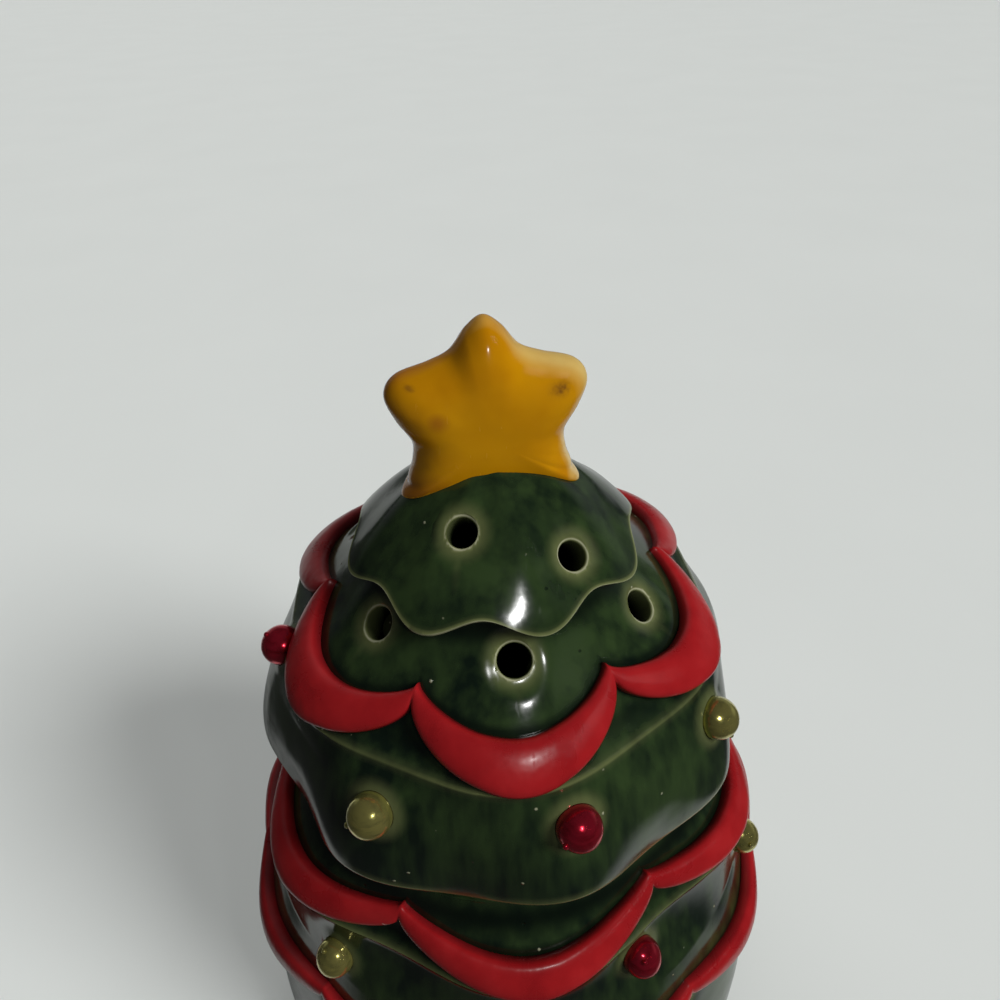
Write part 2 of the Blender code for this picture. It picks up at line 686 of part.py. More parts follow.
wax_bore = COLLAR_RADIUS + SEAT_GAP
wax_edge = cup_bore - SEAT_GAP
wax_rows = [
    Row(wax_bore, cup_foot + WAX_HEIGHT),
    Row(wax_edge, cup_foot + WAX_HEIGHT),
    Row(wax_edge, cup_floor + SEAT_GAP),
    Row(TAB_RADIUS + SEAT_GAP, cup_floor + SEAT_GAP),
    Row(TAB_RADIUS + SEAT_GAP, tab_top + SEAT_GAP),
    Row(wax_bore, tab_top + SEAT_GAP),
]
turned("tealight_wax", wax_rows, parts, tealight_wax, TEALIGHT_FACETS)
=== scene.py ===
from collections import namedtuple
from math import cos, hypot, pi, radians, sin, sqrt

import bmesh
import bpy
import numpy as np
from mathutils import Matrix, Vector


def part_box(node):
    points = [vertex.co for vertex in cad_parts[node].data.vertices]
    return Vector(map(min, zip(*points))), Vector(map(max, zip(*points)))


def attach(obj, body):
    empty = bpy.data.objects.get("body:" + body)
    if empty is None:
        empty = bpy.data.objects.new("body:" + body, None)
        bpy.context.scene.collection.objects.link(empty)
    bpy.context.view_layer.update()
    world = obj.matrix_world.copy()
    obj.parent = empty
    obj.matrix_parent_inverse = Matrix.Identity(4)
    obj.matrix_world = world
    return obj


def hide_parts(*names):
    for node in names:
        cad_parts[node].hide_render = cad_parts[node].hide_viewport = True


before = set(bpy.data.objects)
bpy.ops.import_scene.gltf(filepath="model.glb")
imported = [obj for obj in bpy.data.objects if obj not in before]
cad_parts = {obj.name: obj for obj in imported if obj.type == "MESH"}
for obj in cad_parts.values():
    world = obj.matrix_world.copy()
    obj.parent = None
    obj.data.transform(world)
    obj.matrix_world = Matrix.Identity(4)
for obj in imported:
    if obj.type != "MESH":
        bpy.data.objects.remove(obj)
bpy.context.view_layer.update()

# Base: the lower half of the tree, a hollow shell of slip-cast earthenware. It is dipped in a
# deep green glaze that runs thin over every edge, and its foot ring is wiped bare for the kiln.
COLUMNS = 360
SWAG_LOBES = (6, radians(5))
FOOT_LOBES = (9, radians(-21.6))
RIM_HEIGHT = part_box("base_shell")[1].z
RIM_RADIUS = 0.0445
RIM_BORE_RADIUS = 0.0403
MIDDLE_CREST = (0.0540, 0.087)
MIDDLE_SWELL = 0.0022
LOWER_CREST = (0.0608, 0.057)
LOWER_SWELL = 0.0012
BASE_HEM = (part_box("base_shell")[1].x, 0.014)
FOOT_RADIUS = 0.061
FOOT_RING_WIDTH = 0.007
FOOT_RECESS = 0.0012
BASE_WALL = 0.0045
FLOOR_HEIGHT = 0.005
SWAG_FULLNESS = 0.62
LEDGE_HEIGHT = 0.088
LEDGE_BORE_RADIUS = 0.0362
LEDGE_THICKNESS = 0.0038
BASE_VENTS = 9
BASE_VENT_HEIGHT = 0.0525
BASE_VENT_RADIUS = 0.0029
DOORWAY_RADIUS = 0.023
DOORWAY_SILL = 0.0047
DOORWAY_TOP = 0.0485
DOORWAY_EDGE = 0.0011
DOORWAY_REACH = 0.015
ROUNDING = [radians(turn) for turn in (20, 40, 60, 75)]
HOLLOW_DEPTH = 0.0005
BALL_RADIUS = 0.0039
BALL_BED = (0.0013, 0.0004)
VENT_DISH = (0.0017, -0.0005)
SOCKET_ROOM = 0.00008
BALLS = range(1, 5)
BORE_EDGE = 0.0006
SHARP_EDGE = 50
BUMP_DEPTH = 0.0004
CHAMBER_RADII = (0.0605, 0.052)
RINSED = 0.30
BASE_ROUNDING = 0.0012
FOOT_ROUNDING = 0.0006
PAST_WALLS = 0.12

# Thin glaze, and gathered glaze darkened with painted shade, beside each thing, as its strength and its
# width
BALL_HALO = (0.34, 0.0017)
BALL_POOL_SHADE = (0.8, 0.0003)
GARLAND_POOL_SHADE = (0.75, 0.0009)
HOLE_LIP = (0.85, 0.0003)
HOLE_HALO = (0.42, 0.0019)
HOLE_RUN = (0.17, 0.0008)
HOLE_RUN_LENGTH = 0.006

# One ring of an outline: its size, the lobes it follows as (lobes, swell, drop), and whether it shows
Ring = namedtuple("Ring", "radius height lobes outside", defaults=((), 1.0))

# A garland rises to its points and hangs in swags. slope is how far the wall rises over its width
Garland = namedtuple("Garland", "swags first_point point_height swag_height point_width swag_width "
                     "relief slope")


def tier(top, hem, steps, bow, lobes):
    """Rings below the top of a tier. bow gives the share of the width at a share of the fall."""
    rings = []
    for i in range(1, steps + 1):
        t = i / steps
        radius = top[0] + (hem[0] - top[0]) * bow(t)
        rings.append(Ring(radius, top[1] + (hem[1] - top[1]) * t, lobes(t)))
    return rings


def rounded(corners, radius, steps=4):
    """Rings along straight runs between the corners, which are rounded by up to radius."""
    corners = [Vector(corner) for corner in corners]
    path = [corners[0]]
    for before, corner, after in zip(corners, corners[1:], corners[2:]):
        back, on = before - corner, after - corner
        reach = min(radius, back.length * 0.45, on.length * 0.45)
        start, end = corner + back.normalized() * reach, corner + on.normalized() * reach
        for i in range(steps + 1):
            t = i / steps
            path.append(start * (1 - t) ** 2 + corner * (2 * t * (1 - t)) + end * t ** 2)
    path.append(corners[-1])
    return [Ring(point.x, point.y, outside=0.0) for point in path]


def spin(rings, columns=COLUMNS):
    """Turn the rings: one row of points for each. Angle 0 is the front and angles grow towards +X."""
    angle = np.linspace(0.0, 2 * pi, columns, endpoint=False)
    grid = np.empty((len(rings), columns, 3))
    for i, ring in enumerate(rings):
        radius = np.full(columns, ring.radius)
        height = np.full(columns, ring.height)
        for (count, first), swell, drop in ring.lobes:
            wave = np.cos(count * (angle - first))
            radius += swell * wave
            height -= drop * wave
        grid[i] = np.stack((radius * np.sin(angle), -radius * np.cos(angle), height), axis=1)
    return grid


def facing(grid):
    """The direction out of the surface at each point of the grid."""
    down = np.gradient(grid, axis=0)
    across = np.roll(grid, -1, axis=1) - np.roll(grid, 1, axis=1)
    out = np.cross(down, across)
    return out / np.maximum(np.linalg.norm(out, axis=2, keepdims=True), 1e-12)


def faded(away, strength, width):
    """A mark of some strength, fading with the distance from it."""
    return strength * np.exp(-((away / width) ** 2))


def hand_finish(grid, rings, seats):
    """Sink shallow hollows into the clay, and shape it round each (centre, reach, width, lift)."""
    out = facing(grid)
    shows = np.array([ring.outside for ring in rings])[:, None]
    angle = np.arctan2(grid[..., 0], -grid[..., 1])
    height = grid[..., 2]
    roll = 0.5 * np.sin(3 * angle + 95 * height + 1) + 0.3 * np.sin(5 * angle - 150 * height + 2)
    roll += 0.2 * np.sin(11 * angle + 260 * height)
    lift = HOLLOW_DEPTH * (roll - 1) / 2
    for centre, reach, width, rise in seats:
        away = np.maximum(np.linalg.norm(grid - np.array(centre), axis=2) - reach, 0.0)
        lift = lift + faded(away, rise, width)
    grid += out * (lift * shows)[..., None]


def skin(name, grid):
    """A closed mesh from rings of points. Its first and last ring have no radius, or else they join."""
    rows, columns, _ = grid.shape
    mesh = bpy.data.meshes.new(name)
    if np.ptp(grid[0], axis=0).max() > 0:
        here = np.arange(rows * columns).reshape(rows, columns)
        under, beside = np.roll(here, -1, axis=0), np.roll(here, -1, axis=1)
        corner = np.roll(under, -1, axis=1)
        faces = np.stack((here, under, corner, beside), axis=-1).reshape(-1, 4).tolist()
        mesh.from_pydata(grid.reshape(-1, 3).tolist(), [], faces)
        return mesh
    points = np.concatenate((grid[:1, 0], grid[1:-1].reshape(-1, 3), grid[-1:, 0]))
    here = 1 + np.arange((rows - 2) * columns).reshape(rows - 2, columns)
    beside = np.roll(here, -1, axis=1)
    faces = np.stack((here[:-1], here[1:], beside[1:], beside[:-1]), axis=-1).reshape(-1, 4).tolist()
    last = len(points) - 1
    faces += [(0, a, b) for a, b in zip(here[0].tolist(), beside[0].tolist())]
    faces += [(a, last, b) for a, b in zip(here[-1].tolist(), beside[-1].tolist())]
    mesh.from_pydata(points.tolist(), [], faces)
    return mesh


def show(name, mesh, material=None):
    """Link a mesh into the scene, smooth but for its sharp edges."""
    piece = bpy.data.objects.new(name, mesh)
    bpy.context.scene.collection.objects.link(piece)
    if material:
        mesh.materials.clear()
        mesh.materials.append(material)
    mesh.shade_smooth()
    mesh.set_sharp_from_angle(angle=radians(SHARP_EDGE))
    return piece


def built(name, bm):
    mesh = bpy.data.meshes.new(name)
    bm.to_mesh(mesh)
    bm.free()
    return show(name, mesh)


def remember(mesh, values, name, kind="FLOAT", field="value"):
    """Keep a value for each point on the mesh, where the materials and the garlands can read it."""
    attribute = mesh.attributes.new(name, kind, "POINT")
    attribute.data.foreach_set(field, np.asarray(values, np.float32).ravel())


def places(mesh):
    points = np.empty(len(mesh.vertices) * 3)
    mesh.vertices.foreach_get("co", points)
    return points.reshape(-1, 3)


def settle(piece):
    """Make the piece plain: what its modifiers give becomes its mesh."""
    evaluated = piece.evaluated_get(bpy.context.evaluated_depsgraph_get())
    mesh = bpy.data.meshes.new_from_object(evaluated)
    piece.modifiers.clear()
    piece.data = mesh
    mesh.name = piece.name


def carve(piece, *cutters):
    """Cut the cutters out of the piece for good."""
    for cutter in cutters:
        modifier = piece.modifiers.new(cutter.name, "BOOLEAN")
        modifier.operation = "DIFFERENCE"
        modifier.solver = "EXACT"
        modifier.object = cutter
    settle(piece)
    for cutter in cutters:
        bpy.data.objects.remove(cutter, do_unlink=True)


def bored(name, holes, reach=0.008, sides=40):
    """A cutter with a bar for each (point, direction, radius), flared to round the hole's edge."""
    bm = bmesh.new()
    for point, direction, radius in holes:
        flare = [(radius, -reach), (radius, -BORE_EDGE)]
        for turn in ROUNDING:
            flare.append((radius + BORE_EDGE * (1 - cos(turn)), BORE_EDGE * (sin(turn) - 1)))
        flare.append((radius + BORE_EDGE * 1.6, BORE_EDGE * 1.5))
        place = Matrix.Translation(point) @ direction.to_track_quat("Z", "Y").to_matrix().to_4x4()
        loops = []
        for width, height in flare:
            turns = [2 * pi * i / sides for i in range(sides)]
            loops.append([bm.verts.new(place @ Vector((width * cos(a), width * sin(a), height)))
                          for a in turns])
        for low, high in zip(loops, loops[1:]):
            for i in range(sides):
                j = (i + 1) % sides
                bm.faces.new((low[i], low[j], high[j], high[i]))
        bm.faces.new(loops[0][::-1])
        bm.faces.new(loops[-1])
    return built(name, bm)


def glazed(cut, name, material):
    """The finished piece, in place of the form that was cut."""
    piece = show(name, cut.data, material)
    bpy.data.objects.remove(cut, do_unlink=True)
    return piece


def seat_on(piece, body, slot, *nodes):
    """Let the piece move with its body, where the CAD nodes stand."""
    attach(piece, body)
    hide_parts(*nodes)


def sockets(name, centres):
    """A cutter with a ball for each ornament, a little larger than the ornament."""
    bm = bmesh.new()
    for centre in centres:
        bmesh.ops.create_uvsphere(bm, u_segments=40, v_segments=28, radius=BALL_RADIUS + SOCKET_ROOM,
                                  matrix=Matrix.Translation(centre))
    return built(name, bm)


def ball_centres(level, colour):
    corners = [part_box(f"{level}_bead_{colour}_{i}") for i in BALLS]
    return [(low + high) / 2 for low, high in corners]


def on_glaze(shell, angle, height):
    """The point on a shell, and the direction out of it, at an angle and a height."""
    out = Vector((sin(angle), -cos(angle), 0.0))
    _, point, normal, _ = shell.ray_cast(out * PAST_WALLS + Vector((0.0, 0.0, height)), -out)
    return point, normal


def along(points, rings):
    """How near each point is to the nearest of some wavy rings, from 0 to the strength of the ring."""
    radius = np.hypot(points[:, 0], points[:, 1])
    angle = np.arctan2(points[:, 0], -points[:, 1])
    mark = np.zeros(len(points))
    for ring_radius, height, swell, drop, (count, first), width, strength in rings:
        wave = np.cos(count * (angle - first))
        off = np.hypot(radius - ring_radius - swell * wave, points[:, 2] - height + drop * wave)
        mark = np.maximum(mark, faded(off, strength, width))
    return mark


def beside_garland(points, route):
    """How much gathered glaze and painted shade lies at each point beside the edge of a garland."""
    angle = np.arctan2(points[:, 0], -points[:, 1])
    sag = np.abs(np.sin(route.swags / 2 * (angle - route.first_point))) ** SWAG_FULLNESS
    reach = (route.point_width + (route.swag_width - route.point_width) * sag) / 2
    drop = (route.swag_height - route.point_height) * sag
    past = np.abs(points[:, 2] - route.point_height - drop) / route.slope - reach
    return faded(np.maximum(past, 0.0), *GARLAND_POOL_SHADE)


def lay_glaze_and_shade(mesh, lines, shaded_pools=(), holes=(), balls=(), garlands=(), inside=0.0):
    """Say how the glaze lies at each point, with painted shade. "thin" is 1 on an edge, where it ran off,
    and less in the halo round it and in the runs below a hole. "pooled" is 1 where it gathered, and also
    stands for painted shade under hems, beside balls and garlands and inside holes. lines and
    shaded_pools are rings (radius, height, swell, drop, lobes, width, strength), holes are (centre,
    direction, radius)."""
    inside = np.broadcast_to(inside, len(mesh.vertices))
    points = places(mesh)
    thin, pooled = along(points, lines), along(points, shaded_pools)
    for centre in balls:
        away = np.maximum(np.linalg.norm(points - np.array(centre), axis=1) - BALL_RADIUS, 0.0)
        thin = np.maximum(thin, faded(away, *BALL_HALO))
        pooled = np.maximum(pooled, faded(away, *BALL_POOL_SHADE))
    for garland in garlands:
        pooled = np.maximum(pooled, beside_garland(points, garland))
    thin = np.where(inside > 0, inside, thin)
    for centre, out, hole in holes:
        off = points - np.array(centre)
        depth = off @ np.array(out)
        past = np.linalg.norm(off - depth[:, None] * np.array(out), axis=1) - hole
        lip = faded(past - HOLE_LIP[1], *HOLE_LIP)
        halo = faded(np.maximum(past, 0.0), *HOLE_HALO)
        fall = np.array((0.0, 0.0, -1.0)) + out[2] * np.array(out)
        fall /= np.linalg.norm(fall)
        below = off @ fall - hole
        aside = np.linalg.norm(np.cross(off, fall), axis=1)
        run = faded(aside, *HOLE_RUN) * faded(below, 1.0, HOLE_RUN_LENGTH) * (below > 0)
        thin = np.where((inside > 0) | (np.abs(depth) > 0.004), thin, np.maximum(thin, run))
        near = np.linalg.norm(off, axis=1) < hole * 3
        shallow = np.clip((depth + 0.0011) / 0.0007, 0.0, 1.0)
        thin = np.where(near, np.maximum(thin, np.maximum(lip, halo)) * shallow, thin)
        # Painted shade inside the hole, full where the hole goes deep
        pooled = np.where(near & (past < hole), np.maximum(pooled, 1 - shallow), pooled)
    remember(mesh, thin, "thin")
    remember(mesh, pooled, "pooled")


def add(tree, kind, inputs=None, **settings):
    """A node with its settings made and its inputs filled from values or from other nodes' outputs."""
    node = tree.nodes.new(kind)
    for key, value in settings.items():
        setattr(node, key, value)
    for key, value in (inputs or {}).items():
        if isinstance(value, bpy.types.NodeSocket):
            tree.links.new(value, node.inputs[key])
        else:
            node.inputs[key].default_value = value
    return node


def maths(tree, operation, *values):
    return add(tree, "ShaderNodeMath", dict(enumerate(values)), operation=operation).outputs[0]


def plus(tree, first, second):
    return maths(tree, "ADD", first, second)


def minus(tree, first, second):
    return maths(tree, "SUBTRACT", first, second)


def times(tree, first, second):
    return maths(tree, "MULTIPLY", first, second)


def blended(tree, share, first, second):
    """A colour mixed from two others."""
    return add(tree, "ShaderNodeMix", {0: share, 6: first, 7: second}, data_type="RGBA").outputs[2]


def ramp(tree, value, stops):
    node = add(tree, "ShaderNodeValToRGB", {0: value})
    while len(node.color_ramp.elements) < len(stops):
        node.color_ramp.elements.new(0.5)
    for element, (position, colour) in zip(node.color_ramp.elements, stops):
        element.position = position
        element.color = colour
    return node.outputs[0]


def spread(tree, value, low, high, to_low=0.0, to_high=1.0):
    return add(tree, "ShaderNodeMapRange", {0: value, 1: low, 2: high, 3: to_low, 4: to_high}).outputs[0]


def noise(tree, where, scale, detail=2.0, roughness=0.5):
    inputs = {"Vector": where, "Scale": scale, "Detail": detail, "Roughness": roughness}
    return add(tree, "ShaderNodeTexNoise", inputs).outputs[0]


def stretched(tree, where, scale):
    return add(tree, "ShaderNodeMapping", {0: where, 3: scale}).outputs[0]


def kept(tree, name):
    """A value that the mesh remembers for each point."""
    return add(tree, "ShaderNodeAttribute", attribute_name=name).outputs["Fac"]


def painted(name, finish=None):
    """A material with its shader's plain values. Returns it with its tree, its shader and the place on
    the piece."""
    material = bpy.data.materials.new(name)
    material.use_nodes = True
    tree = material.node_tree
    shader = tree.nodes["Principled BSDF"]
    for title, value in (finish or {}).items():
        shader.inputs[title].default_value = value
    return material, tree, shader, add(tree, "ShaderNodeTexCoord").outputs["Object"]


def surfaced(tree, shader, colour, rough, relief, depth, strength=1.0):
    """Join a colour and a roughness to the shader, with relief as bumps of some depth."""
    bumped = add(tree, "ShaderNodeBump", {"Height": relief, "Strength": strength, "Distance": depth})
    tree.links.new(colour, shader.inputs["Base Color"])
    tree.links.new(rough, shader.inputs["Roughness"])
    tree.links.new(bumped.outputs[0], shader.inputs["Normal"])


def shader_group(name, inputs, outputs):
    """An empty shader group with its sockets. Returns it with what it is given and what it puts out."""
    group = bpy.data.node_groups.new(name, "ShaderNodeTree")
    for title, kind, default in inputs:
        socket = group.interface.new_socket(title, in_out="INPUT", socket_type="NodeSocket" + kind)
        socket.default_value = default
    for title, kind in outputs:
        group.interface.new_socket(title, in_out="OUTPUT", socket_type="NodeSocket" + kind)
    return group, group.nodes.new("NodeGroupInput").outputs, group.nodes.new("NodeGroupOutput").inputs


def poured_glaze():
    """Glaze that runs: near black where it gathers, darker still as painted shade in hollows, pale where
    an edge draws it thin, and pitted.
    """
    group, given, out = shader_group("poured_glaze", (
        ("Deep", "Color", (0, 0, 0, 1)), ("Body", "Color", (0, 0, 0, 1)), ("Halo", "Color", (0, 0, 0, 1)),
        ("Edge", "Color", (1, 1, 1, 1)), ("Runs", "Float", 1.0), ("Roughness", "Float", 0.1)),
        (("Color", "Color"), ("Roughness", "Float"), ("Height", "Float")))
    where = add(group, "ShaderNodeTexCoord").outputs["Object"]
    thin = kept(group, "thin")
    pooled = kept(group, "pooled")
    clouds = noise(group, where, 34.0, 3.0, 0.55)
    drips = noise(group, stretched(group, where, (1.0, 1.0, 0.09)), 330.0, 2.0)
    runs = times(group, minus(group, drips, 0.5), given["Runs"])
    tone = plus(group, clouds, runs)
    body = blended(group, spread(group, tone, 0.34, 0.66), given["Deep"], given["Body"])
    # Gathered glaze and painted shade: the deep colour first, then toward black
    body = blended(group, pooled, body, given["Deep"])
    body = blended(group, times(group, pooled, 0.6), body, (0.0, 0.0, 0.0, 1.0))
    broken = plus(group, thin, times(group, runs, maths(group, "MINIMUM", thin, 0.5)))
    body = blended(group, spread(group, broken, 0.02, 0.5), body, given["Halo"])
    body = blended(group, spread(group, broken, 0.55, 0.95), body, given["Edge"])
    cells = add(group, "ShaderNodeTexVoronoi", {"Vector": where, "Scale": 360.0})
    chance = add(group, "ShaderNodeSeparateColor", {0: cells.outputs["Color"]}).outputs[0]
    small = spread(group, cells.outputs["Distance"], 0.06, 0.13, 1.0, 0.0)
    speck = times(group, small, maths(group, "GREATER_THAN", chance, 0.90))
    pit = times(group, small, maths(group, "LESS_THAN", chance, 0.05))
    body = blended(group, times(group, speck, 0.6), body, given["Edge"])
    body = blended(group, times(group, pit, 0.8), body, given["Deep"])
    haze = noise(group, where, 120.0, 4.0, 0.6)
    rough = plus(group, given["Roughness"], spread(group, haze, 0.5, 0.85, 0.0, 0.10))
    ripple = plus(group, noise(group, where, 80.0, 1.0), times(group, drips, 0.05))
    grain = times(group, noise(group, where, 620.0, 1.0), 0.02)
    height = plus(group, ripple, grain)
    height = minus(group, height, times(group, pit, 0.4))
    height = plus(group, height, times(group, speck, 0.25))
    group.links.new(body, out["Color"])
    group.links.new(rough, out["Roughness"])
    group.links.new(height, out["Height"])
    return group


def handled():
    """What years in the hand leave, fine scratches and a little dust, as a roughness to add."""
    group, given, out = shader_group("handled", (("Amount", "Float", 0.5),), (("Roughness", "Float"),))
    where = add(group, "ShaderNodeTexCoord").outputs["Object"]
    dust = spread(group, noise(group, where, 160.0, 6.0, 0.75), 0.55, 0.8)
    lines = noise(group, stretched(group, where, (900.0, 40.0, 260.0)), 1.0, 1.0)
    scratch = spread(group, lines, 0.70, 0.74)
    both = plus(group, dust, times(group, scratch, 0.6))
    marked = times(group, both, given["Amount"])
    group.links.new(times(group, marked, 0.5), out["Roughness"])
    return group


def worn(tree, rough, amount):
    """A roughness with the marks of handling added."""
    marks = add(tree, "ShaderNodeGroup", {0: amount}, node_tree=MARKS)
    return plus(tree, rough, marks.outputs[0])


def glaze_material(name, bare=False):
    """Green glaze on clay. Where bare is set, the foot ring shows the clay itself."""
    material, tree, shader, where = painted(name, {"IOR": 1.52})
    group = add(tree, "ShaderNodeGroup", {**GREEN, "Runs": 0.6, "Roughness": 0.125}, node_tree=GLAZE)
    colour, rough = group.outputs["Color"], worn(tree, group.outputs["Roughness"], 0.25)
    if bare:
        height = add(tree, "ShaderNodeSeparateXYZ", {0: where}).outputs["Z"]
        ragged = spread(tree, noise(tree, where, 150.0), 0.0, 1.0, -0.0006, 0.0006)
        clay = maths(tree, "LESS_THAN", plus(tree, height, ragged), 0.0006)
        tone = noise(tree, where, 700.0, 4.0)
        chalk = ramp(tree, tone, ((0.3, (0.52, 0.45, 0.36, 1)), (0.7, (0.70, 0.64, 0.54, 1))))
        colour = blended(tree, clay, colour, chalk)
        rough = plus(tree, rough, times(tree, clay, 0.7))
    surfaced(tree, shader, colour, rough, group.outputs["Height"], BUMP_DEPTH)
    return material


GLAZE = poured_glaze()
MARKS = handled()
GREEN = {"Deep": (0.004, 0.009, 0.005, 1), "Body": (0.023, 0.042, 0.013, 1),
         "Halo": (0.115, 0.130, 0.050, 1), "Edge": (0.42, 0.42, 0.28, 1)}
green_glaze = glaze_material("green_glaze")
base_glaze = glaze_material("green_glaze_base", bare=True)


def creased(rings, crest, ridge=0.0004, valley=0.0008):
    """The rings with a crest that stands a little proud, and the hollow that the carver left above."""
    marked = []
    for ring in rings:
        rise = (ring.height - crest[1]) * 1000
        shift = faded(rise, ridge, 0.7) - faded(rise - 3.0, valley, 1.9)
        marked.append(ring._replace(radius=ring.radius + shift))
    return marked


def base_outside():
    shoulder = tier((RIM_RADIUS, RIM_HEIGHT), MIDDLE_CREST, 26, lambda t: t,
                    lambda t: ((SWAG_LOBES, MIDDLE_SWELL * t, 0.0),))
    waist = tier(MIDDLE_CREST, LOWER_CREST, 46, lambda t: t * t * (3 - 2 * t),
                 lambda t: ((SWAG_LOBES, MIDDLE_SWELL * max(1 - 2 * t, 0), 0.0),
                            (FOOT_LOBES, LOWER_SWELL * max(2 * t - 1, 0), 0.0)))
    foot = tier(LOWER_CREST, BASE_HEM, 50, lambda t: sin(pi / 2 * t ** 1.2),
                lambda t: ((FOOT_LOBES, LOWER_SWELL * (1 - t), 0.0),))
    return shoulder + waist + foot


def foot_edge(steps=10):
    rings = []
    for i in range(1, steps + 1):
        turn = pi / 2 * i / steps
        radius = FOOT_RADIUS + (BASE_HEM[0] - FOOT_RADIUS) * cos(turn)
        rings.append(Ring(radius, BASE_HEM[1] * (1 - sin(turn))))
    return rings


def base_inside(outside):
    """From the middle of the floor up the chamber wall, over the ledge and up the bore to the rim."""
    wall = [(ring.radius - BASE_WALL, ring.height) for ring in outside[:26:-8]
            if ring.height > FLOOR_HEIGHT * 3]
    under = LEDGE_HEIGHT - LEDGE_THICKNESS
    corners = [(0.0, FLOOR_HEIGHT), (FOOT_RADIUS - BASE_WALL, FLOOR_HEIGHT)] + wall
    corners += [(MIDDLE_CREST[0] - 2 * BASE_WALL, under - LEDGE_THICKNESS / 2),
                (LEDGE_BORE_RADIUS, under), (LEDGE_BORE_RADIUS, LEDGE_HEIGHT),
                (RIM_BORE_RADIUS, LEDGE_HEIGHT), (RIM_BORE_RADIUS, RIM_HEIGHT), (RIM_RADIUS, RIM_HEIGHT)]
    return rounded(corners + [(outside[0].radius, outside[0].height)], BASE_ROUNDING)[:-1]


def doorway_cutter(outside):
    """The arch is cut with a wet sponge: its edge follows the round wall and is soft all the way."""
    heights = [ring.height for ring in outside][::-1]
    widths = [ring.radius for ring in outside][::-1]
    spring = DOORWAY_TOP - DOORWAY_RADIUS
    sill = np.linspace(-DOORWAY_RADIUS, DOORWAY_RADIUS, 24)[1:-1]
    outline = [(x, DOORWAY_SILL, 0.0, -1.0) for x in sill]
    outline += [(DOORWAY_RADIUS, z, 1.0, 0.0) for z in np.linspace(DOORWAY_SILL, spring, 14)]
    for i in range(1, 40):
        turn = pi * i / 40
        x, z = DOORWAY_RADIUS * cos(turn), spring + DOORWAY_RADIUS * sin(turn)
        outline.append((x, z, cos(turn), sin(turn)))
    outline += [(-DOORWAY_RADIUS, z, -1.0, 0.0) for z in np.linspace(spring, DOORWAY_SILL, 14)]
    layers = [(-DOORWAY_EDGE, 0.0)]
    for turn in ROUNDING:
        layers.append((DOORWAY_EDGE * (sin(turn) - 1), DOORWAY_EDGE * (1 - cos(turn))))
    layers.append((0.004, DOORWAY_EDGE * 2))
    bm = bmesh.new()
    loops = [[bm.verts.new((x, FOOT_RADIUS - DOORWAY_REACH, z)) for x, z, _, _ in outline]]
    for depth, spread_out in layers:
        loop = []
        for x, z, out_x, out_z in outline:
            x, z = x + out_x * spread_out, z + out_z * spread_out
            reach = np.interp(z, heights, widths) + depth
            loop.append(bm.verts.new((x, sqrt(reach ** 2 - x ** 2), z)))
        loops.append(loop)
    flat = BASE_HEM[0] + DOORWAY_REACH
    loops.append([bm.verts.new((point.co.x, flat, point.co.z)) for point in loops[-1]])
    count = len(outline)
    for low, high in zip(loops, loops[1:]):
        for i in range(count):
            bm.faces.new((low[i], low[(i + 1) % count], high[(i + 1) % count], high[i]))
    bm.faces.new(loops[0])
    bm.faces.new(loops[-1])
    bmesh.ops.recalc_face_normals(bm, faces=bm.faces)
    return built("doorway", bm)


def base_wear(mesh):
    """Thin glaze on the doorway's edge and in the chamber, which is only rinsed with glaze."""
    x, y, z = places(mesh).T
    radius = np.hypot(x, y)
    spring = DOORWAY_TOP - DOORWAY_RADIUS
    arch = np.where(z > spring, np.hypot(x, z - spring), np.abs(x)) - DOORWAY_RADIUS
    edge = np.maximum(arch, DOORWAY_SILL - z)
    sharp = faded(edge - 0.0003, 1.0, 0.0007) * (radius > BASE_HEM[0] - BASE_WALL)
    inner = np.interp(z, [FLOOR_HEIGHT, LEDGE_HEIGHT], CHAMBER_RADII)
    chamber = (radius < inner - 0.0015) & (z > FLOOR_HEIGHT - 0.001) & (z < LEDGE_HEIGHT - 0.003)
    return np.maximum(sharp * (y > 0), RINSED * chamber)


outer_rings = base_outside() + foot_edge()
ring_bore = FOOT_RADIUS - FOOT_RING_WIDTH
underside = rounded([(FOOT_RADIUS, 0.0), (ring_bore, 0.0), (ring_bore - FOOT_RECESS, FOOT_RECESS),
                     (0.0, FOOT_RECESS)], FOOT_ROUNDING)[1:]
lower_red, lower_gold = ball_centres("lower", "red"), ball_centres("lower", "gold")
lower_seats = [(centre, BALL_RADIUS, *BALL_BED) for centre in lower_red + lower_gold]
inner_rings = base_inside(outer_rings)
base_rings = inner_rings + outer_rings + underside
base_form = show("base_form", skin("base_form", spin(base_rings)))
vent_angles = [radians(-1.6) + 2 * pi * i / BASE_VENTS for i in range(BASE_VENTS)]
lower_vents = [on_glaze(base_form, angle, BASE_VENT_HEIGHT) for angle in vent_angles]
lower_seats += [(point, BASE_VENT_RADIUS, *VENT_DISH) for point, _ in lower_vents]
base_grid = spin(inner_rings + creased(outer_rings, MIDDLE_CREST) + underside)
hand_finish(base_grid, base_rings, lower_seats)
base_cut = show("base_cut", skin("base_cut", base_grid))
lower_vents = [(*on_glaze(base_cut, angle, BASE_VENT_HEIGHT), BASE_VENT_RADIUS)
               for angle in vent_angles]
carve(base_cut, bored("base_vents", lower_vents),
      sockets("lower_sockets", lower_red + lower_gold), doorway_cutter(outer_rings))
plain = (0.0, 0.0, (1, 0.0))
middle_wave = (MIDDLE_SWELL, 0.0, SWAG_LOBES)
MIDDLE_GARLAND = Garland(6.0, radians(35), 0.0950, 0.0898, 0.0034, 0.0072, 0.0032, 0.81)
LOWER_GARLAND = Garland(9.0, radians(-1.6), 0.0632, 0.0592, 0.0034, 0.0080, 0.0036, 0.98)
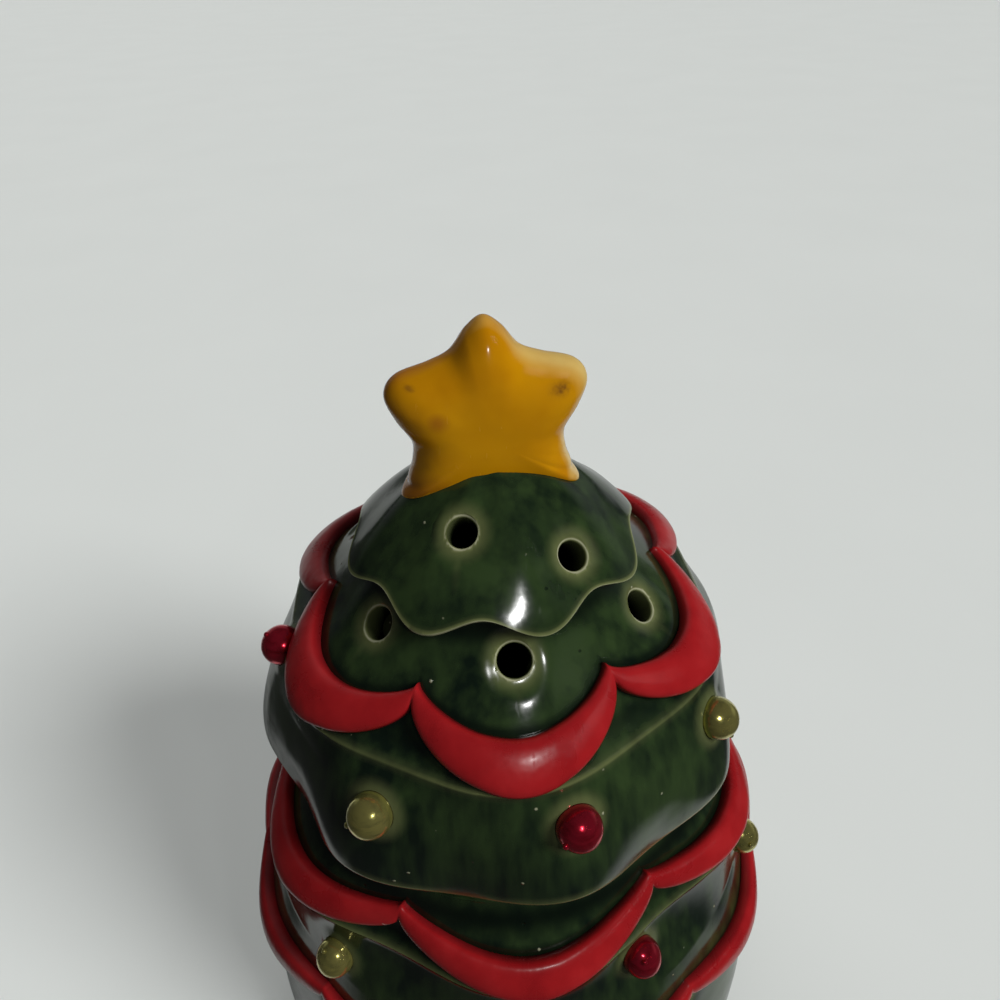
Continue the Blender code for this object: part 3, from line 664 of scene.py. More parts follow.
lay_glaze_and_shade(base_cut.data,
     lines=[(*MIDDLE_CREST, *middle_wave, 0.0005, 0.42), (*MIDDLE_CREST, *middle_wave, 0.0013, 0.13),
            (RIM_BORE_RADIUS, RIM_HEIGHT, *plain, 0.0009, 1.0), (*BASE_HEM, *plain, 0.006, 0.2)],
     # Gathered glaze with painted shade: under the lid's hem at the rim, and in the valley above the
     # middle crest
     shaded_pools=[(RIM_RADIUS + 0.002, RIM_HEIGHT - 0.003, *plain, 0.0026, 0.9),
            (MIDDLE_CREST[0] - 0.0022, MIDDLE_CREST[1] + 0.003, *middle_wave, 0.0015, 0.7)],
     holes=lower_vents, balls=lower_red + lower_gold,
     garlands=[MIDDLE_GARLAND, LOWER_GARLAND], inside=base_wear(base_cut.data))
seat_on(glazed(base_cut, "glazed_base_shell", base_glaze), "base", "green_glaze", "base_shell")

# Garlands: bands of satin red enamel laid over the glaze in swags, by hand. Each rises to points
# between the swags and is widest and thickest at the middle of a swag.


def vectors(tree, operation, *values):
    return add(tree, "ShaderNodeVectorMath", dict(enumerate(values)), operation=operation).outputs[0]


def scaled(tree, vector, amount):
    return add(tree, "ShaderNodeVectorMath", {0: vector, 3: amount}, operation="SCALE").outputs[0]


def between(tree, share, first, second):
    return add(tree, "ShaderNodeMix", {0: share, 2: first, 3: second}).outputs[0]


def geometry_tree(name, inputs):
    """A geometry tree with its inputs named. Returns it with what it is given and what it puts out."""
    tree = bpy.data.node_groups.new(name, "GeometryNodeTree")
    for title, kind in inputs:
        tree.interface.new_socket(title, in_out="INPUT", socket_type="NodeSocket" + kind)
    tree.interface.new_socket("Geometry", in_out="OUTPUT", socket_type="NodeSocketGeometry")
    return tree, tree.nodes.new("NodeGroupInput").outputs, tree.nodes.new("NodeGroupOutput").inputs


def close_tree(tree, shape, material, out):
    """End the tree: smooth, real geometry in one material."""
    smooth = add(tree, "GeometryNodeSetShadeSmooth", {0: shape})
    real = add(tree, "GeometryNodeRealizeInstances", {0: smooth.outputs[0]})
    coated = add(tree, "GeometryNodeSetMaterial", {"Geometry": real.outputs[0], "Material": material})
    tree.links.new(coated.outputs[0], out[0])


def grown(name, tree, inputs, start=None):
    """A plain mesh from a geometry tree whose inputs are set by their names."""
    piece = bpy.data.objects.new(name, start or bpy.data.meshes.new(name))
    bpy.context.scene.collection.objects.link(piece)
    modifier = piece.modifiers.new(name, "NODES")
    modifier.node_group = tree
    for item in tree.interface.items_tree:
        if item.in_out == "INPUT" and item.name in inputs:
            modifier[item.identifier] = inputs[item.name]
    settle(piece)
    return piece


def turned_share(tree, curve):
    """The curve with the share of its length kept at each of its points."""
    capture = add(tree, "GeometryNodeCaptureAttribute", {0: curve})
    capture.capture_items.new("FLOAT", "Share")
    tree.links.new(add(tree, "GeometryNodeSplineParameter").outputs["Factor"], capture.inputs[1])
    return capture.outputs[0], capture.outputs[1]


def on_shell(tree, shell, source, direction):
    """Where a ray meets the shell, and the smooth direction out of it there."""
    out = add(tree, "GeometryNodeInputNamedAttribute", {"Name": "out"}, data_type="FLOAT_VECTOR")
    hit = add(tree, "GeometryNodeRaycast", {"Target Geometry": shell, "Attribute": out.outputs[0],
                                            "Source Position": source, "Ray Direction": direction,
                                            "Ray Length": 0.2}, data_type="FLOAT_VECTOR")
    return hit.outputs["Hit Position"], vectors(tree, "NORMALIZE", hit.outputs["Attribute"])


def garland_tree():
    numbers = ("Swags", "First Point", "Point Height", "Swag Height", "Point Width", "Swag Width",
               "Relief", "Fullness", "Roundness", "Point Relief", "Bedding", "Unevenness")
    tree, given, out = geometry_tree("garland", (
        ("Shell", "Object"), *[(title, "Float") for title in numbers], ("Steps", "Int"),
        ("Enamel", "Material")))
    path = add(tree, "GeometryNodeCurvePrimitiveCircle", {"Resolution": given["Steps"], "Radius": 1.0})
    tube = add(tree, "GeometryNodeCurvePrimitiveCircle", {"Resolution": 28, "Radius": 0.1})
    path, turn = turned_share(tree, path.outputs[0])
    tube, roll = turned_share(tree, tube.outputs[0])
    band = add(tree, "GeometryNodeCurveToMesh", {"Curve": path, "Profile Curve": tube}).outputs[0]
    turn = times(tree, turn, 2 * pi)
    roll = times(tree, roll, 2 * pi)
    swing = maths(tree, "SINE", times(tree, turn, maths(tree, "DIVIDE", given["Swags"], 2.0)))
    sag = maths(tree, "POWER", maths(tree, "ABSOLUTE", swing), given["Fullness"])
    angle = plus(tree, given["First Point"], turn)
    sine, cosine = maths(tree, "SINE", angle), maths(tree, "COSINE", angle)
    out_from_axis = {0: sine, 1: times(tree, cosine, -1.0)}
    out_from_axis = add(tree, "ShaderNodeCombineXYZ", out_from_axis).outputs[0]
    across = add(tree, "ShaderNodeCombineXYZ", {0: cosine, 1: sine}).outputs[0]
    hand = noise(tree, scaled(tree, out_from_axis, 2.6), 1.0)
    hand = times(tree, minus(tree, hand, 0.5), given["Unevenness"])
    height = between(tree, sag, given["Point Height"], given["Swag Height"])
    height = plus(tree, height, times(tree, hand, 0.002))
    width = between(tree, sag, given["Point Width"], given["Swag Width"])
    width = times(tree, width, plus(tree, hand, 1.0))
    shell = add(tree, "GeometryNodeObjectInfo", {0: given["Shell"]}).outputs["Geometry"]
    source = add(tree, "ShaderNodeCombineXYZ", {2: height}).outputs[0]
    source = vectors(tree, "ADD", source, scaled(tree, out_from_axis, PAST_WALLS))
    middle, normal = on_shell(tree, shell, source, scaled(tree, out_from_axis, -1.0))
    up = vectors(tree, "NORMALIZE", vectors(tree, "CROSS_PRODUCT", normal, across))
    reach = times(tree, times(tree, maths(tree, "SINE", roll), width), 0.5)
    target = vectors(tree, "ADD", middle, scaled(tree, up, reach))
    target = vectors(tree, "ADD", target, scaled(tree, normal, 0.008))
    seat, normal = on_shell(tree, shell, target, scaled(tree, normal, -1.0))
    crown = maths(tree, "MAXIMUM", maths(tree, "COSINE", roll), 0.0)
    relief = times(tree, given["Relief"], between(tree, sag, given["Point Relief"], 1.0))
    relief = times(tree, relief, plus(tree, hand, 1.0))
    lift = times(tree, relief, maths(tree, "POWER", crown, given["Roundness"]))
    sunk = maths(tree, "MINIMUM", maths(tree, "COSINE", roll), 0.0)
    sunk = minus(tree, times(tree, sunk, 2.0), 1.0)
    sunk = times(tree, given["Bedding"], sunk)
    place = vectors(tree, "ADD", seat, scaled(tree, normal, plus(tree, lift, sunk)))
    moved = add(tree, "GeometryNodeSetPosition", {"Geometry": band, "Position": place}).outputs[0]
    moved = add(tree, "GeometryNodeFlipFaces", {0: moved}).outputs[0]
    marked = add(tree, "GeometryNodeStoreNamedAttribute",
                 {"Geometry": moved, "Name": "crown", "Value": crown}, data_type="FLOAT", domain="POINT")
    close_tree(tree, marked.outputs[0], given["Enamel"], out)
    return tree


def red_enamel():
    """Red enamel: satin, a little darker where it lies thin at the edges, chipped here and there."""
    finish = {"Coat Weight": 0.1, "Coat Roughness": 0.12}
    material, tree, shader, where = painted("red_enamel", finish)
    clouds = noise(tree, where, 110.0, 4.0)
    colour = ramp(tree, clouds, ((0.30, (0.23, 0.006, 0.008, 1)), (0.55, (0.30, 0.009, 0.011, 1)),
                                 (0.75, (0.35, 0.014, 0.016, 1))))
    crown = kept(tree, "crown")
    edge = plus(tree, crown, times(tree, clouds, 0.25))
    edge = times(tree, spread(tree, edge, 0.05, 0.5, 1.0, 0.0), 0.75)
    colour = blended(tree, edge, colour, (0.085, 0.006, 0.008, 1))
    chips = add(tree, "ShaderNodeTexVoronoi", {"Vector": where, "Scale": 95.0}, distance="CHEBYCHEV")
    chance = add(tree, "ShaderNodeSeparateColor", {0: chips.outputs["Color"]}).outputs[0]
    ragged = spread(tree, noise(tree, where, 900.0), 0, 1, -0.12, 0.12)
    small = maths(tree, "LESS_THAN", plus(tree, chips.outputs["Distance"], ragged), 0.10)
    chip = times(tree, small, maths(tree, "GREATER_THAN", chance, 0.84))
    colour = blended(tree, times(tree, chip, 0.8), colour, (0.62, 0.36, 0.33, 1))
    rough = worn(tree, spread(tree, clouds, 0.3, 0.8, 0.25, 0.36), 0.3)
    ripple = minus(tree, noise(tree, where, 240.0, 2.0), times(tree, chip, 0.6))
    surfaced(tree, shader, colour, rough, ripple, 0.00016)
    return material


def remember_out(shell):
    """Keep the smooth direction out of the shell on it, for what is laid on it."""
    normals = [vertex.normal for vertex in shell.data.vertices]
    remember(shell.data, normals, "out", "FLOAT_VECTOR", "vector")


def hang_garland(node, body, shell, route, steps):
    """A garland on a shell. The fields of its route, such as point_height, fill "Point Height"."""
    sizes = {field.replace("_", " ").title(): value for field, value in route._asdict().items()}
    piece = grown("enamel_" + node, GARLAND, {
        **sizes, "Shell": shell, "Fullness": SWAG_FULLNESS, "Roundness": 0.44, "Point Relief": 0.6,
        "Bedding": 0.0003, "Unevenness": 0.10, "Steps": steps, "Enamel": RED_ENAMEL})
    seat_on(piece, body, "red_glaze", node)


GARLAND = garland_tree()
RED_ENAMEL = red_enamel()
remember_out(base_form)
hang_garland("middle_garland", "base", base_form, MIDDLE_GARLAND, 720)
hang_garland("lower_garland", "base", base_form, LOWER_GARLAND, 900)

# Ball ornaments: hollow glass balls, silvered and lacquered red or gold, each pressed into a socket
# in the glaze. The nub where the glass was drawn off shows on some of them.
NUB_RADIUS = 0.00055
NUB_TILT = 1.9


def ball_tree():
    tree, given, out = geometry_tree("ball_ornaments", (
        ("Seats", "Geometry"), ("Radius", "Float"), ("Nub", "Float"), ("Tilt", "Float"), ("Seed", "Int"),
        ("Lacquer", "Material")))
    ball = add(tree, "GeometryNodeMeshUVSphere", {"Segments": 56, "Rings": 36, "Radius": given["Radius"]})
    nub = add(tree, "GeometryNodeMeshUVSphere", {"Segments": 20, "Rings": 12, "Radius": given["Nub"]})
    raised = add(tree, "ShaderNodeCombineXYZ", {2: given["Radius"]}).outputs[0]
    nub = add(tree, "GeometryNodeTransform", {"Geometry": nub.outputs[0], "Translation": raised})
    both = tree.nodes.new("GeometryNodeJoinGeometry")
    tree.links.new(nub.outputs[0], both.inputs[0])
    tree.links.new(ball.outputs[0], both.inputs[0])
    out_of_glaze = add(tree, "GeometryNodeInputNamedAttribute", {"Name": "out"}, data_type="FLOAT_VECTOR")
    facing_out = add(tree, "FunctionNodeAlignRotationToVector", {"Vector": out_of_glaze.outputs[0]},
                     axis="Z")
    chance = add(tree, "FunctionNodeRandomValue", {"Seed": given["Seed"]}, data_type="FLOAT_VECTOR")
    tilt = scaled(tree, vectors(tree, "SUBTRACT", chance.outputs[0], (0.5, 0.5, 0.5)), given["Tilt"])
    tilt = add(tree, "FunctionNodeEulerToRotation", {0: tilt}).outputs[0]
    turned = add(tree, "FunctionNodeRotateRotation", {0: facing_out.outputs[0], 1: tilt},
                 rotation_space="LOCAL").outputs[0]
    placed = add(tree, "GeometryNodeInstanceOnPoints",
                 {"Points": given["Seats"], "Instance": both.outputs[0], "Rotation": turned})
    close_tree(tree, placed.outputs[0], given["Lacquer"], out)
    return tree


def lacquer(name, colour, tarnish):
    """Silvered glass under tinted lacquer, with a faint swirl from the brush and a little tarnish."""
    finish = {"Metallic": 0.9, "Coat Weight": 0.6, "Coat Roughness": 0.08}
    material, tree, shader, where = painted(name, finish)
    swirl = noise(tree, stretched(tree, where, (1.0, 1.0, 3.0)), 500.0, 3.0)
    tone = blended(tree, spread(tree, swirl, 0.45, 0.75), (*colour, 1.0), (*tarnish, 1.0))
    rough = worn(tree, spread(tree, swirl, 0.4, 0.8, 0.17, 0.30), 0.4)
    surfaced(tree, shader, tone, rough, swirl, 0.00006)
    return material


def set_balls(level, colour, body, centres, seed):
    """All balls of one colour on one half of the tree, as one piece."""
    seats = bpy.data.meshes.new(level + "_seats")
    seats.from_pydata([tuple(centre) for centre in centres], [], [])
    remember(seats, [(x, y, 0.25 * hypot(x, y)) for x, y, _ in centres], "out", "FLOAT_VECTOR", "vector")
    piece = grown(f"{level}_{colour}_balls", BALLS_TREE, {
        "Radius": BALL_RADIUS, "Nub": NUB_RADIUS, "Tilt": NUB_TILT, "Seed": seed,
        "Lacquer": LACQUER[colour]}, seats)
    seat_on(piece, body, colour + "_ball", *[f"{level}_bead_{colour}_{i}" for i in BALLS])


BALLS_TREE = ball_tree()
LACQUER = {"red": lacquer("red_lacquer", (0.80, 0.026, 0.060), (0.45, 0.010, 0.024)),
           "gold": lacquer("gold_lacquer", (0.76, 0.68, 0.20), (0.44, 0.41, 0.13))}
set_balls("lower", "red", "base", lower_red, 3)
set_balls("lower", "gold", "base", lower_gold, 8)

# Tealight: a drawn aluminium cup, pressed into flutes, with a poured candle whose braided cotton
# wick stands in a tinned sustainer.
cup_low, cup_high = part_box("tealight_cup")
CUP_WALL = 0.0004
CUP_CORNER = 0.0008
CUP_LIP = 0.001
CUP_ROUNDING = 0.0005
CUP_LIP_ROUNDING = 0.0003
CUP_FLUTES = (44, 0.0)
FLUTE_DEPTH = 0.00022
FLUTE_ENDS = (0.001, 0.0012)


def metal(name, colour, roughness, brushed):
    """Thin sheet metal with a grain."""
    material, tree, shader, where = painted(name, {"Metallic": 1.0})
    grain = noise(tree, stretched(tree, where, brushed), 1.0, 3.0)
    darker = [channel * 0.8 for channel in colour]
    tone = blended(tree, spread(tree, grain, 0.35, 0.7), (*darker, 1.0), (*colour, 1.0))
    rough = worn(tree, spread(tree, grain, 0.3, 0.8, roughness, roughness + 0.15), 0.6)
    surfaced(tree, shader, tone, rough, grain, 0.00004, 0.6)
    return material


def soft_solid(name, low, high, roughness, grain, bump, subsurface=0.0):
    """A pale soft stuff such as wax or cotton, cloudy at the scale of its grain."""
    finish = {"Subsurface Weight": subsurface, "Subsurface Radius": (0.004, 0.003, 0.002),
              "Subsurface Scale": 1.0}
    material, tree, shader, where = painted(name, finish)
    clouds = noise(tree, where, grain, 4.0, 0.6)
    tone = ramp(tree, clouds, ((0.3, (*low, 1.0)), (0.7, (*high, 1.0))))
    rough = worn(tree, spread(tree, clouds, 0.3, 0.7, roughness, roughness + 0.1), 0.3)
    surfaced(tree, shader, tone, rough, clouds, bump)
    return material


def fluted_wall(radius, low, high, steps=12):
    """Rings of the cup's side, from low to high or back. The flutes fade towards both ends."""
    rings = []
    for i in range(steps + 1):
        t = i / steps
        depth = FLUTE_DEPTH * min(1.0, 5 * t, 5 * (1 - t))
        rings.append(Ring(radius - depth, low + (high - low) * t, ((CUP_FLUTES, depth, 0.0),)))
    return rings


cup_radius = cup_high.x
cup_bore = cup_radius - CUP_WALL
cup_floor = cup_low.z + CUP_WALL
cup_rings = rounded([(0, cup_floor), (cup_bore * 0.6, cup_floor), (cup_bore - CUP_CORNER, cup_floor),
                     (cup_bore, cup_floor + CUP_CORNER)], CUP_ROUNDING)
cup_rings += fluted_wall(cup_bore, cup_floor + FLUTE_ENDS[0], cup_high.z - FLUTE_ENDS[1])
cup_rings += rounded([(cup_bore, cup_high.z - CUP_LIP), (cup_bore, cup_high.z),
                      (cup_radius, cup_high.z), (cup_radius, cup_high.z - CUP_LIP)],
                     CUP_LIP_ROUNDING)
cup_rings += fluted_wall(cup_radius, cup_high.z - FLUTE_ENDS[1], cup_low.z + FLUTE_ENDS[0])
cup_rings += rounded([(cup_radius, cup_low.z + CUP_CORNER), (cup_radius - CUP_CORNER, cup_low.z),
                      (cup_radius * 0.6, cup_low.z), (0, cup_low.z)], CUP_ROUNDING)
aluminium = metal("cup_aluminium", (0.80, 0.81, 0.82), 0.24, (900.0, 900.0, 60.0))
cup_mesh = skin("cup", spin(cup_rings, 8 * CUP_FLUTES[0]))
seat_on(show("fluted_tealight_cup", cup_mesh, aluminium), "tealight", "tealight_metal", "tealight_cup")

wax_low, wax_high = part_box("tealight_wax")
WAX_BORE = 0.0021
WAX_RECESS = (0.0063, 0.0008)
wax_recess_top = wax_low.z + WAX_RECESS[1]
wax_rings = rounded([(WAX_BORE, wax_high.z - 0.0003), (0.006, wax_high.z - 0.0007),
                     (0.013, wax_high.z - 0.0006), (wax_high.x - 0.0015, wax_high.z - 0.0004),
                     (wax_high.x, wax_high.z), (wax_high.x, wax_low.z), (WAX_RECESS[0], wax_low.z),
                     (WAX_RECESS[0], wax_recess_top), (WAX_BORE, wax_recess_top)], 0.0006)
wax = soft_solid("candle_wax", (0.74, 0.70, 0.60), (0.84, 0.81, 0.73), 0.42, 260.0, 0.0001, 0.35)
wax_mesh = skin("wax", spin(wax_rings, 120))
seat_on(show("poured_wax", wax_mesh, wax), "tealight", "candle_wax", "tealight_wax")

tab_low, tab_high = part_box("wick_tab")
TAB_SHEET = 0.0005
TAB_NECK_BORE = 0.0012
TAB_NECK_RADIUS = 0.0018
tab_top = tab_low.z + TAB_SHEET
tab_rings = rounded([(0, tab_top), (TAB_NECK_BORE, tab_top), (TAB_NECK_BORE, tab_high.z),
                     (TAB_NECK_RADIUS, tab_high.z), (TAB_NECK_RADIUS, tab_top),
                     (tab_high.x, tab_top), (tab_high.x, tab_low.z), (0, tab_low.z)], 0.0002)
tin = metal("sustainer_tin", (0.66, 0.66, 0.64), 0.3, (500.0, 500.0, 500.0))
tab_mesh = skin("sustainer", spin(tab_rings, 96))
seat_on(show("wick_sustainer", tab_mesh, tin), "tealight", "tealight_metal", "wick_tab")

wick_low, wick_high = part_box("wick")
WICK_RADIUS = 0.00072
WICK_STRANDS = 3
WICK_STRAND_RELIEF = 0.00016
WICK_TWIST = 900.0
WICK_FRAY = (0.25, 0.0006)
wick_rings = [Ring(0.0, wick_high.z)]
for i in range(61):
    height = wick_high.z - 0.0001 + (wick_low.z - wick_high.z + 0.0001) * i / 60
    frayed = WICK_FRAY[0] * np.exp(-((wick_high.z - height) / WICK_FRAY[1]))
    strands = ((WICK_STRANDS, WICK_TWIST * height), WICK_STRAND_RELIEF, 0.0)
    wick_rings.append(Ring(WICK_RADIUS * (1 - frayed), height, (strands,)))
wick_rings.append(Ring(0.0, wick_low.z))
cotton = soft_solid("wick_cotton", (0.70, 0.66, 0.55), (0.86, 0.83, 0.74), 0.8, 2500.0, 0.0002)
wick_mesh = skin("wick", spin(wick_rings, 48))
seat_on(show("braided_wick", wick_mesh, cotton), "tealight", "wick_cotton", "wick")

# Wax bowl: a glazed dish that hangs by its flange on the ledge in the base. Wax melts go in it.
bowl_low, bowl_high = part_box("wax_bowl")
BOWL_FLANGE_RADIUS = bowl_high.x
BOWL_FLANGE_THICKNESS = 0.003
BOWL_MOUTH_RADIUS = 0.0335
BOWL_FLOOR_RADIUS = 0.017
BOWL_WALL = 0.003
BOWL_ROUNDING = 0.0011
bowl_depth = bowl_high.z - bowl_low.z - BOWL_WALL
bowl_curve = []
for i in range(13):
    turn = pi / 2 * i / 12
    reach = BOWL_FLOOR_RADIUS + (BOWL_MOUTH_RADIUS - BOWL_FLOOR_RADIUS) * sin(turn)
    bowl_curve.append((reach, bowl_depth * cos(turn)))
bowl_seat = bowl_high.z - BOWL_FLANGE_THICKNESS
bowl_corners = [(0.0, bowl_high.z - bowl_depth)]
bowl_corners += [(reach - BOWL_WALL, bowl_high.z - fall) for reach, fall in bowl_curve[:-1]]
bowl_corners += [(BOWL_MOUTH_RADIUS - BOWL_WALL, bowl_high.z), (BOWL_FLANGE_RADIUS, bowl_high.z),
                 (BOWL_FLANGE_RADIUS, bowl_seat), (BOWL_MOUTH_RADIUS, bowl_seat)]
bowl_corners += [(reach, bowl_seat - fall) for reach, fall in bowl_curve[::-1][1:]]
bowl_corners.append((0.0, bowl_low.z))
bowl_mesh = skin("bowl", spin(rounded(bowl_corners, BOWL_ROUNDING, 3), 240))
lay_glaze_and_shade(bowl_mesh, [(BOWL_MOUTH_RADIUS - BOWL_WALL, bowl_high.z, *plain, 0.0010, 0.9),
                 (BOWL_FLANGE_RADIUS, bowl_high.z, *plain, 0.0009, 1.0),
                 (BOWL_FLANGE_RADIUS, bowl_seat, *plain, 0.0006, 0.8)])
seat_on(show("glazed_bowl", bowl_mesh, glaze_material("bowl_glaze")), "bowl", "bowl_glaze", "wax_bowl")

# Lid: the upper half of the tree, one glazed shell of three tiers. Its flange drops inside the rim
# of the base, and its last hem hangs over the joint. Each hem is rolled and lifts in soft lobes.
CROWN_LOBES = (8, radians(18))
LID_LOBES = (8, radians(12))
CROWN_TIP = 0.172
CROWN_HEM = (0.0268, 0.153)
CROWN_LIP = 0.0011
CROWN_SWELL = 0.0012
CROWN_DROP = 0.0014
NECK = (0.0233, 0.1516)
UPPER_CREST = (0.0423, 0.1335)
UPPER_SWELL = 0.0012
LID_HEM = (0.0495, 0.1093)
LID_LIP = 0.0014
LID_SWELL = 0.0018
LID_DROP = -0.0016
LID_WALL = 0.0045
LID_ROUNDING = 0.0014
FLANGE_RADIUS = RIM_BORE_RADIUS - 0.0005
FLANGE_WALL = 0.003
FLANGE_DEPTH = 0.0055
SEAT_HEIGHT = RIM_HEIGHT + 0.0003
CROWN_VENTS = ((-20, 0.1634), (42, 0.1582), (152, 0.1610), (218, 0.1610))
CROWN_VENT_RADIUS = 0.0026
TIER_VENTS = ((-50, 0.1464), (6, 0.1464), (63, 0.1440), (127, 0.1425), (185, 0.1455), (244, 0.1450))
TIER_VENT_RADIUS = 0.0029
LID_BALL_BED = (0.0014, 0.0004)
LID_VENT_DISH = (0.0018, -0.0006)
RINSED_OUTLINE = ((0.109, 0.049), (0.120, 0.047), (0.1335, 0.042), (0.1516, 0.0235), (0.1530, 0.026),
                  (0.172, 0.0))


def rolled(hem, lip, lobes, last, steps=9):
    """Rings that roll a hem under, to last degrees below level."""
    rings = []
    for i in range(1, steps + 1):
        turn = radians(last * i / steps)
        rings.append(Ring(hem[0] - lip + lip * cos(turn), hem[1] - lip * sin(turn), lobes))
    return rings


def crown_outside(steps=46):
    rings = [Ring(0.0, CROWN_TIP)]
    for i in range(1, steps + 1):
        t = (i / steps) ** 1.35
        radius = CROWN_HEM[0] * t ** 0.67
        height = CROWN_TIP + (CROWN_HEM[1] - CROWN_TIP) * t
        rings.append(Ring(radius, height, ((CROWN_LOBES, CROWN_SWELL * t, CROWN_DROP * t ** 3),)))
    return rings


def lid_skirts():
    second = tier(NECK, UPPER_CREST, 44, lambda t: t ** 1.12,
                  lambda t: ((SWAG_LOBES, UPPER_SWELL * t, 0.0),))
    third = tier(UPPER_CREST, LID_HEM, 46, lambda t: 1 - (1 - t) ** 1.9,
                 lambda t: ((SWAG_LOBES, UPPER_SWELL * max(1 - 4 * t, 0), 0.0),
                            (LID_LOBES, LID_SWELL * t, LID_DROP * t ** 3)))
    return second + third


def lid_underside(hem_end, skirts, crown):
    """From the rolled hem in to the seat, down and up the flange, and up the inside to the top."""
    bore, flange_end = FLANGE_RADIUS - FLANGE_WALL, RIM_HEIGHT - FLANGE_DEPTH
    corners = [(hem_end.radius, hem_end.height),
               ((hem_end.radius + RIM_RADIUS) / 2, hem_end.height + LID_LIP),
               (RIM_RADIUS, SEAT_HEIGHT), (FLANGE_RADIUS, SEAT_HEIGHT),
               (FLANGE_RADIUS, flange_end), (bore, flange_end), (bore, RIM_HEIGHT)]
    inner = [(ring.radius - LID_WALL, ring.height - LID_WALL * 0.3) for ring in skirts[-12:40:-9]]
    inner += [(ring.radius - LID_WALL, ring.height - LID_WALL * 0.7) for ring in skirts[36:8:-9]]
    inner += [(ring.radius - LID_WALL, ring.height - LID_WALL * 0.8) for ring in crown[-10:12:-9]]
    top = CROWN_TIP - LID_WALL * 1.1
    return rounded(corners + inner + [(0.004, top), (0.0, top)], LID_ROUNDING)[1:]


def lid_wear(mesh):
    """The inside of the lid is only rinsed with glaze."""
    x, y, height = places(mesh).T
    radius = np.hypot(x, y)
    skirt = np.interp(height, *zip(*RINSED_OUTLINE))
    return RINSED * ((radius < skirt - 0.0028) & (radius < FLANGE_RADIUS + 0.0003))


crown_rings = crown_outside()
skirt_rings = lid_skirts()
crown_roll = rolled(CROWN_HEM, CROWN_LIP, crown_rings[-1].lobes, 150)
hem_roll = rolled(LID_HEM, LID_LIP, skirt_rings[-1].lobes, 160)
underneath = lid_underside(hem_roll[-1], skirt_rings, crown_rings)
crown_rings_rolled = crown_rings + crown_roll + [Ring(*NECK)]
lid_rings = crown_rings_rolled + skirt_rings + hem_roll + underneath
lid_form = show("lid_form", skin("lid_form", spin(lid_rings)))
upper_red, upper_gold = ball_centres("upper", "red"), ball_centres("upper", "gold")
lid_vents = [(radians(a), z, CROWN_VENT_RADIUS) for a, z in CROWN_VENTS]
lid_vents += [(radians(a), z, TIER_VENT_RADIUS) for a, z in TIER_VENTS]
lid_seats = [(centre, BALL_RADIUS, *LID_BALL_BED) for centre in upper_red + upper_gold]
lid_seats += [(on_glaze(lid_form, a, z)[0], radius, *LID_VENT_DISH) for a, z, radius in lid_vents]
lid_grid = spin(crown_rings_rolled + creased(skirt_rings, UPPER_CREST) + hem_roll + underneath)
hand_finish(lid_grid, lid_rings, lid_seats)
lid_cut = show("lid_cut", skin("lid_cut", lid_grid))
upper_vents = [(*on_glaze(lid_cut, a, z), radius) for a, z, radius in lid_vents]
carve(lid_cut, bored("upper_vents", upper_vents), sockets("upper_sockets", upper_red + upper_gold))
UPPER_GARLAND = Garland(6.0, radians(35), 0.1418, 0.1362, 0.0036, 0.0090, 0.0030, 0.70)
crown_wave = (CROWN_SWELL, CROWN_DROP, CROWN_LOBES)
crest_wave = (UPPER_SWELL, 0.0, SWAG_LOBES)
hem_wave = (LID_SWELL, LID_DROP, LID_LOBES)
crown_edge = (CROWN_HEM[0] - 0.0001, CROWN_HEM[1] - 0.0003, *crown_wave)
crest_edge = (UPPER_CREST[0] + 0.0002, UPPER_CREST[1], *crest_wave)
hem_edge = (LID_HEM[0] - 0.0001, LID_HEM[1] - 0.0003, *hem_wave)
lay_glaze_and_shade(lid_cut.data,
     lines=[(*crown_edge, 0.00055, 0.85), (*crown_edge, 0.0010, 0.20), (*crest_edge, 0.0005, 0.42),
            (*crest_edge, 0.0013, 0.13), (*hem_edge, 0.0006, 0.80), (*hem_edge, 0.0015, 0.28)],
     # Gathered glaze with painted shade: under the crown's hem, at the neck, in the valley above the
     # crest and under the lid's hem
     shaded_pools=[(CROWN_HEM[0] - 0.0012, CROWN_HEM[1] - 0.0022, *crown_wave, 0.0011, 1.0),
            (NECK[0] + 0.0015, NECK[1] - 0.0008, *plain, 0.0022, 1.0),
            (UPPER_CREST[0] - 0.0030, UPPER_CREST[1] + 0.003, *crest_wave, 0.0015, 0.75),
            (LID_HEM[0] - 0.0016, LID_HEM[1] - 0.0028, *hem_wave, 0.0014, 1.0)],
     holes=upper_vents, balls=upper_red + upper_gold, garlands=[UPPER_GARLAND],
     inside=lid_wear(lid_cut.data))
seat_on(glazed(lid_cut, "glazed_lid_shell", green_glaze), "lid", "green_glaze", "lid_shell")
remember_out(lid_form)
hang_garland("upper_garland", "lid", lid_form, UPPER_GARLAND, 720)
set_balls("upper", "red", "lid", upper_red, 5)
set_balls("upper", "gold", "lid", upper_gold, 2)

# Star: press-moulded, puffed front and back, glazed amber and set over the tip of the crown. Its
# outline is half of it as shares of half its span and of its height, from the tip down.
STAR_SPAN = 0.0336
STAR_HEIGHT = 0.0335
STAR_FOOT = 0.1615
STAR_THICKNESS = 0.0126
STAR_TURN = radians(7.5)
STAR_MIDDLE = 0.42
STAR_FULLNESS = 5.0
STAR_HALF_OUTLINE = ((0.00, 1.00), (0.17, 0.945), (0.34, 0.836), (0.56, 0.785), (0.88, 0.735),
                     (1.00, 0.645), (0.93, 0.520), (0.785, 0.379), (0.80, 0.250), (0.87, 0.130),
                     (0.82, 0.000))
STAR_HEART = 0.42
# A painted highlight on the right foot of the star, as its x and its height
STAR_FOOT_HIGHLIGHT = (0.0150, 0.166)
STAR_BLEMISHES = ((0.0114, 0.1835, 0.0016), (-0.0126, 0.1855, 0.0006))
STAR_STAIN = (-0.0088, 0.1802, 0.0019)


